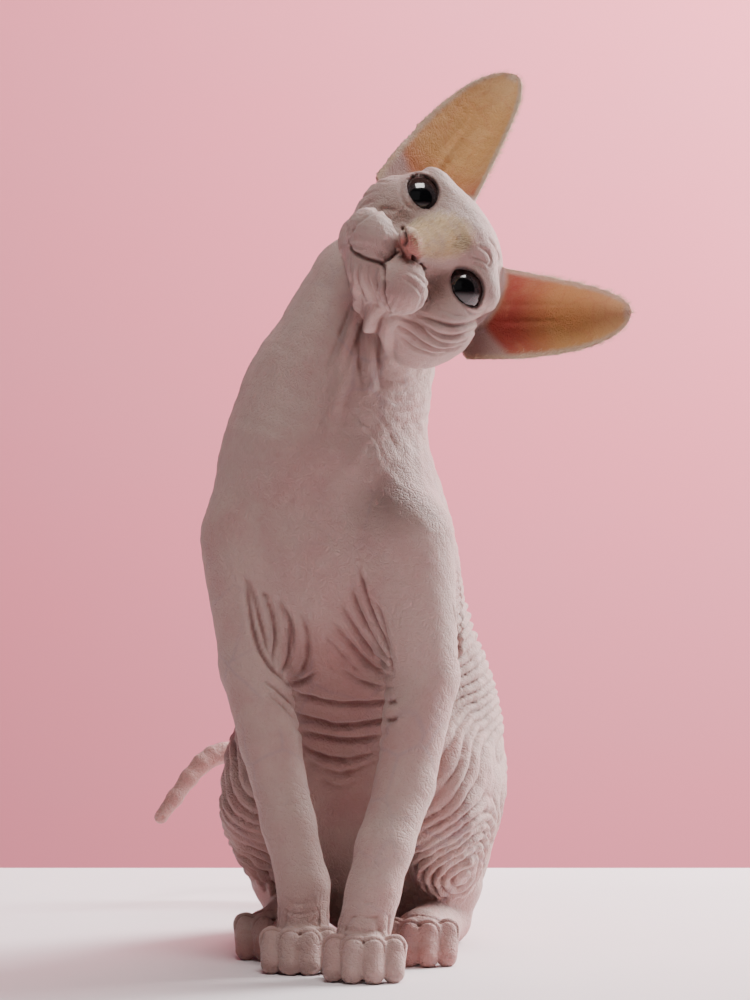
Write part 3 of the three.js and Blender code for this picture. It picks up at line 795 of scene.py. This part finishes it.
def part_masks(points):
    """How much each point of the skin belongs to the trunk, forelegs, hind feet, tail, head and ears."""
    samples = Cloud(points)
    trunk = trunk_distance(samples)
    fore_left, fore_right, hind_left, hind_right, tail = (joined(samples, parts) for parts, _ in LIMBS)
    skull = joined(samples, SKULL)
    ears = joined(samples, [Ear(s, EAR_THICK) for s in SIDES])
    fore, hind = np.minimum(fore_left, fore_right), np.minimum(hind_left, hind_right)
    rest = np.minimum.reduce([fore, hind, tail, skull, ears])
    return {
        "trunk": 1 - ramp(trunk - rest, -1, 5),
        "fore": 1 - ramp(fore - trunk, -5, 2),
        "hind": 1 - ramp(hind - trunk, -4, 2),
        "tail": 1 - ramp(tail - trunk, -3, 2),
        "head": 1 - ramp(skull - trunk, -2, 6),
        "ear": (1 - ramp(ears, 0.3, 1.2)) * ramp(skull, 0.5, 3.5),
    }


def flank_folds(points, masks):
    """Slanting pleats on the flanks and thighs, bending round the knees."""
    left, back, up = body_place(points)
    out = np.abs(left)
    knee = np.sqrt((out - 62) ** 2 + (back - 32) ** 2 + (up - 23) ** 2)
    slant = up - 0.36 * out - 0.28 * back
    line = knee + (slant - 12 - knee) * ramp(up, 62, 100)
    phase = (line + 2.4 * waves(points, 50, 3) + 0.5 * waves(points, 17, 4)) / 4.7
    valley = np.abs(np.cos(phase * math.pi)) ** 0.75 - 0.62
    where = (masks["trunk"] - masks["tail"]).clip(0) * ramp(out, 16, 30)
    where = where * (1 - ramp(up, 148, 182)) * ramp(up, 8, 22) * (1 - 0.75 * ramp(back, 60, 108))
    strength = 1.9 + 0.5 * waves(points, 24, 5) + 0.7 * (1 - ramp(up, 30, 90))
    lumps = 0.8 * waves(points, 9, 6) * (1 - ramp(knee, 26, 52))
    return where * (strength * valley + lumps)


def back_folds(points, masks):
    """Soft wide rolls over the back and the nape."""
    _, back, up = body_place(points)
    phase = (up - 0.5 * back + 5 * waves(points, 60, 8)) / 10.5
    roll = np.abs(np.cos(phase * math.pi)) ** 0.8 - 0.6
    where = masks["trunk"] * ramp(back - 0.25 * (230 - up), 10, 34) * ramp(up, 30, 60)
    return where * roll * (0.75 + 0.4 * waves(points, 30, 9))


def toe_folds(points):
    """A crease behind each toe's tip, and one over its knuckle."""
    lift = np.zeros(len(points))
    for name in PAWS:
        _, ahead, across = paw_frame(name)
        for toe in range(4):
            _, knuckle, _ = toe_line(name, toe)
            near = np.nonzero(np.linalg.norm(points - knuckle, axis=1) < 14)[0]
            d = points[near] - knuckle
            side = np.abs(d @ across) < TOE_RADIUS * 0.98
            forward = d @ ahead
            crease = -0.9 * bell((forward - 2.6) / 0.9) - 0.7 * bell((forward + 5) / 1.0)
            lift[near] += np.where(side & (points[near, 2] > 4), crease, 0)
    return lift


def ear_folds(points, masks):
    """Two long soft ridges inside each ear."""
    local = to_head(points)
    lift = np.zeros(len(points))
    for s in SIDES:
        u, q, behind, _, _ = ear_place(local, s)
        inside = masks["ear"] * (behind < 0) * (local[:, 0] * s > 0)
        ridge = bell((q - 0.25) / 0.09) + 0.8 * bell((q + 0.12 + 0.2 * u) / 0.08)
        lift += inside * (1 - ramp(u, 0.2, 0.75)) * ramp(u, 0.02, 0.15) * ridge * 0.9
    return lift


def nape_shape(points, masks):
    """How far the nape's outline is filled or hollowed, which leaves no colour."""
    lift = np.zeros(len(points))
    for (left, up), height, spread in NAPE_SHAPE:
        near = np.hypot(points[:, 0] - left, points[:, 2] - up)
        lift += height * bell(near / spread) * (1 - masks["head"])
    return lift


def pad_rows(points):
    """Rows of small lumps on the whisker pads."""
    local = to_head(points)
    pads = np.zeros(len(points))
    for centre in (PAD_LEFT, PAD_RIGHT):
        pads += (1 - ramp(np.linalg.norm(local - centre, axis=1), 9, 13.5)) * (local[:, 1] < 0)
    rows = np.cos(local[:, 0] * 1.25) * np.cos((local[:, 2] + 0.3 * np.abs(local[:, 0])) * 1.5)
    return np.clip(pads, 0, 1) * 0.5 * rows


def skin_lift(points, masks):
    """How far the folds raise or sink each point of the skin."""
    lift = np.zeros(len(points))
    add_creases(lift, points, FACE_CREASES, 0.35, 1.35)
    add_creases(lift, points, NECK_CREASES)
    add_creases(lift, points, ARMPIT_CREASES, 0.5, 1.25)
    add_creases(lift, points, BELLY_CREASES, 0.5, 1.2)
    add_creases(lift, points, WRIST_CREASES)
    add_cords(lift, points, NECK_CORDS)
    lift += pad_rows(points)
    lift += flank_folds(points, masks) + back_folds(points, masks)
    lift += toe_folds(points) + ear_folds(points, masks)
    lift *= 1 - masks["tail"]
    return lift + 0.22 * waves(points, 11, 11) * masks["trunk"] + 0.1 * waves(points, 6, 12)


def make_mesh(name, vertices, faces, material):
    """A mesh object from millimetre vertices in the working frame."""
    mesh = bpy.data.meshes.new(name)
    mesh.from_pydata(((np.asarray(vertices) + SHIFT) * METRE).tolist(), [], faces)
    mesh.materials.append(material)
    mesh.polygons.foreach_set("use_smooth", [True] * len(mesh.polygons))
    mesh.update()
    obj = bpy.data.objects.new(name, mesh)
    bpy.context.scene.collection.objects.link(obj)
    return obj


def paint(obj, name, values):
    """Keep one number for each vertex, for the materials to read."""
    layer = obj.data.attributes.new(name, "FLOAT", "POINT")
    layer.data.foreach_set("value", np.asarray(values, np.float32))


def frame_shift():
    """From the working frame to the model's own, by the middle of an eyeball."""
    low, high = (np.array(corner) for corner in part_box("eye_left"))
    return (low + high) / 2 / METRE - eye_centre(1)


SHIFT = frame_shift()


class Wire:
    """A socket of a material's nodes; arithmetic on it adds Math nodes."""

    def __init__(self, tree, socket=None):
        self.tree, self.socket = tree, socket

    def node(self, kind, settings=None, sockets=None, output=0):
        """Add a node of a kind, with its settings made first, then its sockets' values or links."""
        made = self.tree.nodes.new(kind)
        for key, value in (settings or {}).items():
            setattr(made, key, value)
        for key, value in (sockets or {}).items():
            if isinstance(value, Wire):
                self.tree.links.new(value.socket, made.inputs[key])
            else:
                made.inputs[key].default_value = value
        return Wire(self.tree, made.outputs[output])

    def math(self, operation, *values):
        return self.node("ShaderNodeMath", {"operation": operation}, dict(enumerate(values)))

    def __add__(self, other):
        return self.math("ADD", self, other)

    def __radd__(self, other):
        return self.math("ADD", other, self)

    def __sub__(self, other):
        return self.math("SUBTRACT", self, other)

    def __rsub__(self, other):
        return self.math("SUBTRACT", other, self)

    def __mul__(self, other):
        return self.math("MULTIPLY", self, other)

    def __rmul__(self, other):
        return self.math("MULTIPLY", other, self)

    def ramp(self, low, high):
        """0 where this is low and 1 where it is high, eased."""
        sockets = {0: self, 1: low, 2: high}
        return self.node("ShaderNodeMapRange", {"interpolation_type": "SMOOTHSTEP"}, sockets)

    def mixed(self, factor, other):
        """This colour with another one over it."""
        other = other if isinstance(other, Wire) else (*other, 1)
        return self.node("ShaderNodeMix", {"data_type": "RGBA"}, {0: factor, 6: self, 7: other}, output=2)

    def colour(self, red, green, blue):
        """An even colour to start from."""
        sockets = {0: 0.0, 6: (red, green, blue, 1)}
        return self.node("ShaderNodeMix", {"data_type": "RGBA"}, sockets, output=2)

    def painted(self, name):
        """A number that was kept at the vertices."""
        return self.node("ShaderNodeAttribute", {"attribute_name": name}, output=2)

    def noise(self, size, detail=3, rough=0.55):
        """Noise with blots of a size in millimetres, 0 to 1."""
        place = self.node("ShaderNodeTexCoord", output=3)
        sockets = {"Vector": place, "Scale": 1000 / size, "Detail": detail, "Roughness": rough}
        return self.node("ShaderNodeTexNoise", {}, sockets)

    def cells(self, size):
        """Distance from the edges of irregular cells of a size in millimetres."""
        place = self.node("ShaderNodeTexCoord", output=3)
        wobble = self.noise(size * 2, 2)
        bent = self.node("ShaderNodeVectorMath", {"operation": "SCALE"}, {0: place, 3: wobble * 0.08 + 0.96})
        sockets = {"Vector": bent, "Scale": 1000 / size}
        return self.node("ShaderNodeTexVoronoi", {"feature": "DISTANCE_TO_EDGE"}, sockets)


def new_material(name):
    """A material, its shader, and a wire to start its nodes from."""
    material = bpy.data.materials.new(name)
    material.use_nodes = True
    shader = material.node_tree.nodes["Principled BSDF"]
    return material, shader, Wire(material.node_tree)


def link(shader, socket, wire):
    """Feed a shader's socket from a wire."""
    wire.tree.links.new(wire.socket, shader.inputs[socket])


def skin_material(look):
    """Bare pink skin, pinker with painted shade low on the body, painted shade in its folds and along the
    mouth's lines, a painted glow of light through the ears, a pink nose and a cream bridge.
    """
    material, shader, wire = new_material("skin")
    skin = wire.colour(*look.skin_colour)
    skin = skin.mixed(wire.noise(34, 4).ramp(0.42, 0.68) * 0.55, tuple(look.rosy_colour))
    skin = skin.mixed(wire.noise(9, 5, 0.65).ramp(0.5, 0.72) * 0.3, (0.5, 0.37, 0.32))
    skin = skin.mixed(wire.noise(3.2, 3).ramp(0.58, 0.75) * 0.22, (0.36, 0.19, 0.17))
    veins = (1 - wire.cells(26).ramp(0.0, 0.05)) * wire.noise(60, 2).ramp(0.45, 0.62)
    skin = skin.mixed(veins * 0.3, (0.3, 0.24, 0.27))
    # Pinker and darker on the soles, belly, tail and low forelegs: the skin's own pink with painted shade
    skin = skin.mixed(wire.painted("rosy_and_shade") * 0.7, (0.38, 0.16, 0.145))
    # Painted shade: darker and redder where the skin sinks into a fold
    skin = skin.mixed(wire.painted("crease") * 0.75, tuple(look.fold_shade_colour))
    cream = wire.painted("bridge") * wire.noise(4, 4).ramp(0.3, 0.62)
    skin = skin.mixed(cream * 0.9, (0.56, 0.4, 0.19))
    smudge = wire.painted("smudge") * wire.noise(5, 4).ramp(0.3, 0.6)
    skin = skin.mixed(smudge * 0.8, (0.12, 0.1, 0.045))
    # Painted glow of light shining through the thin ears: amber, deeper red at the roots and paler at the
    # tips; the cells and streaks over it are the ears' own veins and marks
    inner = wire.colour(0.58, 0.29, 0.09).mixed(wire.painted("ear_root_glow"), (0.4, 0.05, 0.03))
    inner = inner.mixed(wire.painted("ear_tip_glow"), (0.62, 0.36, 0.16))
    inner = inner.mixed((1 - wire.cells(16).ramp(0.0, 0.06)) * 0.16, (0.45, 0.1, 0.05))
    inner = inner.mixed(wire.noise(16, 4).ramp(0.5, 0.75) * 0.35, (0.66, 0.38, 0.16))
    # Inside the ears, the painted glow of light through them
    skin = skin.mixed(wire.painted("ear") * 0.92, inner)
    skin = skin.mixed(wire.painted("rim") * 0.6, (0.58, 0.42, 0.28))
    skin = skin.mixed(wire.painted("nose") * 0.9, tuple(look.nose_colour))
    skin = skin.mixed(wire.painted("lid") * 0.85, (0.1, 0.05, 0.045))
    # Painted shade in the mouth's line, the groove under the nose and the nostrils
    skin = skin.mixed(wire.painted("line") * 0.8, (0.09, 0.035, 0.03))
    link(shader, "Base Color", skin)
    rough = 0.52 + wire.noise(5, 3) * 0.16 - wire.painted("nose") * 0.2 - wire.painted("lid") * 0.25
    link(shader, "Roughness", rough)
    fine = wire.cells(1.5).ramp(0.0, 0.25) * 0.5 + wire.cells(3.4).ramp(0.0, 0.18) * 0.7
    fine = fine + wire.noise(1.1, 4) * 0.9
    bump = wire.node("ShaderNodeBump", {}, {"Strength": 0.5, "Distance": 0.0006, "Height": fine})
    link(shader, "Normal", bump)
    shader.inputs["Subsurface Weight"].default_value = 0.16
    shader.inputs["Subsurface Radius"].default_value = (1.0, 0.38, 0.22)
    shader.inputs["Subsurface Scale"].default_value = 0.0018
    shader.inputs["Specular IOR Level"].default_value = 0.35
    shader.inputs["Sheen Weight"].default_value = 0.14
    shader.inputs["Sheen Roughness"].default_value = 0.4
    return material


def eye_material(look):
    """A wide dark pupil in a grey-brown iris, under a wet surface."""
    material, shader, wire = new_material("eye")
    turn = wire.painted("turn")
    iris = wire.colour(*look.iris_colour)
    iris = iris.mixed(wire.noise(1.2, 4).ramp(0.35, 0.7) * 0.6, (0.02, 0.014, 0.014))
    iris = iris.mixed(turn.ramp(0.62, 0.8), (0.045, 0.022, 0.02))
    eye = iris.mixed(1 - turn.ramp(0.46, 0.52), (0.002, 0.002, 0.003))
    link(shader, "Base Color", eye)
    shader.inputs["Roughness"].default_value = 0.12
    shader.inputs["Coat Weight"].default_value = 1.0
    shader.inputs["Coat Roughness"].default_value = 0.02
    return material


def claw_material():
    """Pale horn."""
    material, shader, wire = new_material("claw")
    horn = wire.colour(0.62, 0.5, 0.42)
    link(shader, "Base Color", horn.mixed(wire.noise(2, 2).ramp(0.4, 0.7) * 0.5, (0.4, 0.25, 0.2)))
    shader.inputs["Roughness"].default_value = 0.35
    return material


def down_material(look):
    """Cream hairs, some of them darker."""
    material, shader, wire = new_material("down")
    hair = wire.colour(*look.down_colour)
    link(shader, "Base Color", hair.mixed(wire.noise(6, 3).ramp(0.4, 0.7) * 0.5, (0.5, 0.4, 0.24)))
    shader.inputs["Roughness"].default_value = 0.7
    shader.inputs["Sheen Weight"].default_value = 0.3
    return material


def seen_from(points, place, wide=1.0, high=1.0):
    """How far points are from a place in the front view, in spans of a width and a height."""
    across, down = front_view(points)
    return np.hypot((across - place[0]) / wide, (down - place[1]) / high)


def face_paint(points):
    """Where the nose, its cream bridge and a smudge on it are, and the painted shade along the mouth, the
    groove under the nose and the nostrils.
    """
    across, _ = front_view(points)
    facing = to_head(points)[:, 1] < 12
    # The painted shade of the mouth, the groove under the nose and the nostrils
    line = np.zeros(len(points))
    for i, strength in enumerate((0.55, 1, 1, 1)):
        near, d, _ = line_distance(points, lines_on_skin(FACE_CREASES[i : i + 1])[0], 3)
        line[near] = np.maximum(line[near], bell(d / 0.75) * strength)
    nose = 1 - ramp(seen_from(points, NOSE_SEEN, 1 / 0.85), 10, 15)
    return {
        "nose": nose * (1 - ramp(across, 420, 428)) * facing,
        "bridge": (1 - ramp(seen_from(points, BRIDGE_SEEN, 34, 24), 0.6, 1.15)) * facing,
        "smudge": (1 - ramp(seen_from(points, SMUDGE_SEEN, 13, 15), 0.2, 1.1)) * facing,
        "line": line,
    }


def lid_paint(points):
    """The dark edge of the lids."""
    lid = np.zeros(len(points))
    for s in SIDES:
        d = points - eye_centre(s)
        near = np.linalg.norm(d, axis=1) < 16
        lid[near] = np.maximum(lid[near], 1 - ramp(Opening(s).almond(d[near]), 0.1, 1.5))
    return lid


def ear_paint(points, masks):
    """The ears' insides with their painted glow of light shining through, deeper red at their roots and
    paler at their tips, and their rims.
    """
    local = to_head(points)
    made = {name: np.zeros(len(points)) for name in ("ear", "ear_root_glow", "ear_tip_glow", "rim")}
    for s in SIDES:
        u, q, behind, edge, _ = ear_place(local, s)
        mine = masks["ear"] * (local[:, 0] * s > 0)
        inside = (1 - ramp(behind, -0.3, 0.3)) * (1 - ramp(edge, -2.2, -0.4))
        made["ear"] += mine * inside * ramp(u - 0.1 * ramp(q, 0.2, 1), -0.06, 0.04)
        made["ear_root_glow"] += mine * (1 - ramp(u - 0.12 * s, 0.02, 0.42))
        made["ear_tip_glow"] += mine * ramp(u, 0.62, 1.0)
        made["rim"] += mine * ramp(edge, -2.4, -0.6)
    return made


def rosy_and_shade_paint(points, masks):
    """Pinker and darker skin on the soles, the belly, the tail and low on the forelegs: the skin's own pink,
    with painted shade where these parts lie in shade.
    """
    sole = masks["hind"] * (1 - ramp(points[:, 2], 5, 14)) * 0.9
    belly = masks["trunk"] * (1 - ramp(seen_from(points, BELLY_SEEN, 1, 2), 20, 60)) * 0.5
    # Darker towards the bottom of the forelegs: painted shade
    shank = masks["fore"] * (1 - ramp(points[:, 2], 10, 60)) * 0.25
    return sole + belly + 0.9 * masks["tail"] + shank


def skin_paint(skin, points, masks, lift):
    """Leave on the skin where its colours change and where shade and glow are painted."""
    layers = {
        # Painted shade in the folds, deeper where the skin sinks further
        "crease": ramp(-lift, 0.25, 1.5),
        "lid": lid_paint(points),
        # The skin's own pink with painted shade on the underparts and the tail
        "rosy_and_shade": rosy_and_shade_paint(points, masks),
        **face_paint(points),
        **ear_paint(points, masks),
    }
    for name, values in layers.items():
        paint(skin, name, np.clip(values, 0, 1))


class CatLook(bpy.types.PropertyGroup):
    """The sizes, colours and lights that a user would change."""

    cell: bpy.props.FloatProperty(
        name="Cell", description="Side of the first cells of the skin, in millimetres", default=1.8, min=1
    )
    skin_colour: bpy.props.FloatVectorProperty(
        name="Skin",
        description="Main colour of the skin",
        subtype="COLOR",
        size=3,
        default=(0.46, 0.33, 0.295),
    )
    rosy_colour: bpy.props.FloatVectorProperty(
        name="Rosy",
        description="Pinker blots of the skin",
        subtype="COLOR",
        size=3,
        default=(0.4, 0.22, 0.205),
    )
    # Colour of the painted shade deep in the folds
    fold_shade_colour: bpy.props.FloatVectorProperty(
        name="Folds",
        description="Colour deep in the folds",
        subtype="COLOR",
        size=3,
        default=(0.17, 0.065, 0.055),
    )
    nose_colour: bpy.props.FloatVectorProperty(
        name="Nose",
        description="Colour of the nose",
        subtype="COLOR",
        size=3,
        default=(0.42, 0.15, 0.125),
    )
    iris_colour: bpy.props.FloatVectorProperty(
        name="Iris",
        description="Colour of the iris",
        subtype="COLOR",
        size=3,
        default=(0.045, 0.035, 0.038),
    )
    down_colour: bpy.props.FloatVectorProperty(
        name="Down",
        description="Colour of the down",
        subtype="COLOR",
        size=3,
        default=(0.72, 0.6, 0.42),
    )
    claw_length: bpy.props.FloatProperty(
        name="Claw", description="Length of a claw", default=0.006, min=0.001, unit="LENGTH"
    )
    down_length: bpy.props.FloatProperty(
        name="Down length", description="Length of the down", default=0.0024, min=0.0005, unit="LENGTH"
    )
    key_power: bpy.props.FloatProperty(
        name="Key light", description="Power that the other lights follow", default=30, min=0, unit="POWER"
    )
    fill_power: bpy.props.FloatProperty(
        name="Fill light", description="Power of the weak light in front", default=0.4, min=0, unit="POWER"
    )


def wants_detail(points):
    """Whether the skin needs its smallest faces: on the face, the paws and the ears."""
    local = to_head(points)
    face = (local[:, 1] < 26) & (np.abs(local[:, 0]) < 44) & (local[:, 2] > -56) & (local[:, 2] < 26)
    paws = (points[:, 2] < 26) & (points[:, 1] < 0)
    ears = (local[:, 2] > 20) & (np.abs(local[:, 0]) > 24)
    return face | paws | ears


class CAT_OT_skin(bpy.types.Operator):
    """Build the skin over the whole cat"""

    bl_idname = "cat.skin"
    bl_label = "Cat Skin"

    def execute(self, context):
        look = context.scene.cat_look
        grid = Grid(GRID_LOW, GRID_HIGH, look.cell)
        values = body_distance(grid, ear_thick=EAR_THICK_COARSE)
        floor = (-(grid.low[2] + grid.step * np.arange(grid.shape[2]))).astype(np.float32)
        vertices, quads = net(np.maximum(values, floor[None, None, :]), grid)
        vertices, quads, _ = split(vertices, quads, np.ones(len(quads), bool))
        vertices, quads, odd = split(vertices, quads, wants_detail(vertices[quads].mean(1)))
        vertices, way = settle(vertices, look.cell * 0.45)
        masks = part_masks(vertices)
        lift = skin_lift(vertices, masks)
        made = vertices + way * (lift + nape_shape(vertices, masks))[:, None]
        made[:, 2] = np.maximum(made[:, 2], 0)
        skin = make_mesh("skin", made, quads.tolist() + odd, skin_material(look))
        skin_paint(skin, vertices, masks, lift)
        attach(skin, "root")
        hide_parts(*[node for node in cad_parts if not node.startswith("eye")])
        return {"FINISHED"}


def ball(centre, gaze, radius, rings=48, sides=56):
    """Vertices and faces of a ball round its gaze, and each vertex's turn from the gaze."""
    across = unit(np.cross(gaze, UP))
    up = np.cross(across, gaze)
    vertices, turns = [centre + gaze * radius], [0.0]
    for i in range(1, rings):
        a = math.pi * i / rings
        for j in range(sides):
            b = 2 * math.pi * j / sides
            out = across * math.cos(b) + up * math.sin(b)
            vertices.append(centre + radius * (gaze * math.cos(a) + out * math.sin(a)))
            turns.append(a)
    vertices.append(centre - gaze * radius)
    turns.append(math.pi)
    last = len(vertices) - 1
    faces = []
    for j in range(sides):
        k = (j + 1) % sides
        faces.append([0, 1 + j, 1 + k])
        faces.append([last, last - sides + k, last - sides + j])
        for i in range(rings - 2):
            a = 1 + i * sides
            faces.append([a + j, a + sides + j, a + sides + k, a + k])
    return vertices, faces, turns


class CAT_OT_eyes(bpy.types.Operator):
    """Build the two eyeballs"""

    bl_idname = "cat.eyes"
    bl_label = "Cat Eyes"

    def execute(self, context):
        material = eye_material(context.scene.cat_look)
        for name, s in (("left", 1), ("right", -1)):
            centre = eye_centre(s)
            gaze = unit(unit(CAMERA_AT - centre) + 0.25 * (eye_frame(s)[0] @ HEAD))
            vertices, faces, turns = ball(centre, gaze, EYE_RADIUS)
            eye = make_mesh("eye_" + name, vertices, faces, material)
            paint(eye, "turn", turns)
            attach(eye, "root")
            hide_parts("eye_" + name)
        return {"FINISHED"}


def claw(tip, ahead, across, length, rings=7, sides=8):
    """Vertices and faces of one hooked claw at a toe's tip."""
    start = tip + ahead * TOE_RADIUS * 0.55 + UP * 1.6
    vertices, faces = [], []
    for i in range(rings):
        t = i / (rings - 1)
        bend = math.radians(20 + 75 * t)
        along = ahead * math.cos(bend) - UP * math.sin(bend)
        at = start + along * length * t * 0.8
        up = np.cross(along, across)
        r = 1.15 * (1 - t) ** 0.7 + 0.12
        for j in range(sides):
            a = 2 * math.pi * j / sides
            vertices.append(at + across * math.cos(a) * r * 0.6 + up * math.sin(a) * r)
    for i in range(rings - 1):
        for j in range(sides):
            a, b = i * sides + j, i * sides + (j + 1) % sides
            faces.append([a, b, b + sides, a + sides])
    return vertices, faces + [list(range(sides))[::-1], list(range((rings - 1) * sides, rings * sides))]


class CAT_OT_claws(bpy.types.Operator):
    """Build the claws that show at the toes' tips"""

    bl_idname = "cat.claws"
    bl_label = "Cat Claws"

    def execute(self, context):
        look = context.scene.cat_look
        vertices, faces = [], []
        for name in PAWS:
            _, ahead, across = paw_frame(name)
            for toe in range(4):
                _, _, tip = toe_line(name, toe)
                points, rings = claw(tip, ahead, across, look.claw_length / METRE)
                faces += [[corner + len(vertices) for corner in ring] for ring in rings]
                vertices += points
        claws = make_mesh("claws", vertices, faces, claw_material())
        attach(claws, "root")
        return {"FINISHED"}


class CAT_OT_down(bpy.types.Operator):
    """Build the down on the ears' edges and on the bridge of the nose"""

    bl_idname = "cat.down"
    bl_label = "Cat Down"

    def roots(self, skin, random):
        """Places, outward directions and places on the head of the hairs' roots."""
        mesh = skin.data
        count = len(mesh.vertices)
        places, normals = np.empty(count * 3, np.float32), np.empty(count * 3, np.float32)
        mesh.vertices.foreach_get("co", places)
        mesh.vertex_normals.foreach_get("vector", normals)
        places, normals = places.reshape(-1, 3) / METRE - SHIFT, normals.reshape(-1, 3)
        rim, bridge = (np.empty(count, np.float32) for _ in range(2))
        mesh.attributes["rim"].data.foreach_get("value", rim)
        mesh.attributes["bridge"].data.foreach_get("value", bridge)
        local = to_head(places)
        chosen = [random.choice(count, HAIRS, p=weight / weight.sum()) for weight in (rim, bridge)]
        return [(places[i], normals[i], local[i]) for i in np.concatenate(chosen)]

    def execute(self, context):
        look = context.scene.cat_look
        random = np.random.default_rng(21)
        lean = HEAD[2]
        vertices, faces, map_places = [], [], []
        for at, normal, local in self.roots(bpy.data.objects["skin"], random):
            long = look.down_length / METRE * random.uniform(0.5, 1.3)
            way = unit(normal * 0.5 + lean * 0.7 + random.normal(size=3) * 0.35)
            side = unit(np.cross(way, random.normal(size=3))) * 0.045
            base = at - normal * 0.1 + random.normal(size=3) * 0.25
            n = len(vertices)
            middle = base + way * long * 0.55
            end = base + unit(way + lean * 0.5) * long
            vertices += [base - side, base + side, middle + side * 0.8, middle - side * 0.8, end]
            faces += [[n, n + 1, n + 2, n + 3], [n + 3, n + 2, n + 4]]
            u, v = 0.5 + local[0] / 160, 0.5 + (local[2] + 0.6 * local[1]) / 220
            corners = [(0, 0), (1, 0), (1, 0.5), (0, 0.5), (0.5, 1)]
            spot = [(u + a * HAIR_PATCH, v + b * HAIR_PATCH) for a, b in corners]
            map_places += spot[:4] + [spot[3], spot[2], spot[4]]
        down = make_mesh("down", vertices, faces, down_material(look))
        layer = down.data.uv_layers.new(name="OFBake")
        layer.data.foreach_set("uv", np.array(map_places, np.float32).ravel())
        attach(down, "root")
        return {"FINISHED"}


class CAT_OT_stage(bpy.types.Operator):
    """Set the table top, the backdrop, the lights and the camera"""

    bl_idname = "cat.stage"
    bl_label = "Table And Lights"

    def plain(self, name, size, place, turn, colour, rough):
        """A flat sheet of an even, slightly blotched colour."""
        bpy.ops.mesh.primitive_plane_add(size=1, location=place, rotation=turn)
        made = bpy.context.object
        made.name = name
        made.scale = (*size, 1)
        material, shader, wire = new_material(name)
        blots = wire.noise(60, 4).ramp(0.3, 0.8) * 0.12
        link(shader, "Base Color", wire.colour(*colour).mixed(blots, (0.5, 0.42, 0.44)))
        shader.inputs["Roughness"].default_value = rough
        made.data.materials.append(material)

    def execute(self, context):
        scene = context.scene
        look = scene.cat_look
        table_middle = TABLE_EDGE + SHIFT[1] * METRE - TABLE_SIZE[1] / 2
        self.plain("table", TABLE_SIZE, (0, table_middle, 0), (0, 0, 0), (0.88, 0.82, 0.84), 0.75)
        upright = (math.pi / 2, 0, 0)
        self.plain("backdrop", BACKDROP_SIZE, (0, BACKDROP_AT, 0.2), upright, (0.92, 0.24, 0.32), 0.9)
        world = bpy.data.worlds.new("studio")
        scene.world = world
        world.use_nodes = True
        world.node_tree.nodes["Background"].inputs[0].default_value = (0.95, 0.86, 0.88, 1)
        world.node_tree.nodes["Background"].inputs[1].default_value = 0.02
        lamps = (
            ("key", (0.05, -0.42, 1.2), (0.5, 0.4), look.key_power * 0.3, (1, 0.96, 0.94)),
            ("fill", (-0.5, -1.6, 0.9), (1.2, 1.2), look.fill_power, (0.97, 0.97, 1)),
            ("side", (1.05, 0.62, 0.5), (0.5, 0.9), look.key_power * 0.75, (1, 0.96, 0.94)),
            ("rim", (0.3, 0.8, 0.95), (0.8, 0.5), look.key_power * 0.16, (1, 0.93, 0.9)),
            ("glow", (1.3, 0.9, 1.5), (1.2, 1.2), look.key_power * 5.5, (1, 0.95, 0.96)),
        )
        for name, place, size, power, colour in lamps:
            light = bpy.data.lights.new(name, "AREA")
            light.shape = "RECTANGLE"
            light.size, light.size_y = size
            light.energy, light.color = power, colour
            lamp = bpy.data.objects.new(name, light)
            lamp.location = place
            aim = Vector((0.2, BACKDROP_AT, 0.6) if name == "glow" else (0, 0, 0.24)) - lamp.location
            lamp.rotation_euler = aim.to_track_quat("-Z", "Y").to_euler()
            scene.collection.objects.link(lamp)
        camera = bpy.data.cameras.new("camera")
        camera.sensor_fit = "VERTICAL"
        camera.sensor_height = 36
        camera.lens = CAMERA_LENS
        view = bpy.data.objects.new("camera", camera)
        view.location = (CAMERA_AT + SHIFT) * METRE
        view.rotation_euler = (math.pi / 2, 0, 0)
        scene.collection.objects.link(view)
        scene.camera = view
        return {"FINISHED"}


class CAT_PT_panel(bpy.types.Panel):
    """Lists the pieces in the sidebar"""

    bl_idname = "CAT_PT_panel"
    bl_label = "Hairless Cat"
    bl_space_type = "VIEW_3D"
    bl_region_type = "UI"
    bl_category = "Cat"

    def draw(self, context):
        look = context.scene.cat_look
        for name in look.__annotations__:
            self.layout.prop(look, name)
        for operator in OPERATORS:
            self.layout.operator(operator.bl_idname)


OPERATORS = (CAT_OT_skin, CAT_OT_eyes, CAT_OT_claws, CAT_OT_down, CAT_OT_stage)
CLASSES = (CatLook, *OPERATORS, CAT_PT_panel)


def register():
    for cls in CLASSES:
        bpy.utils.register_class(cls)
    bpy.types.Scene.cat_look = bpy.props.PointerProperty(type=CatLook)


def unregister():
    del bpy.types.Scene.cat_look
    for cls in reversed(CLASSES):
        bpy.utils.unregister_class(cls)


def main():
    """Build every piece and the stage."""
    register()
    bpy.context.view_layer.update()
    bpy.ops.cat.skin()
    bpy.ops.cat.eyes()
    bpy.ops.cat.claws()
    bpy.ops.cat.down()
    bpy.ops.cat.stage()


if __name__ == "__main__":
    main()
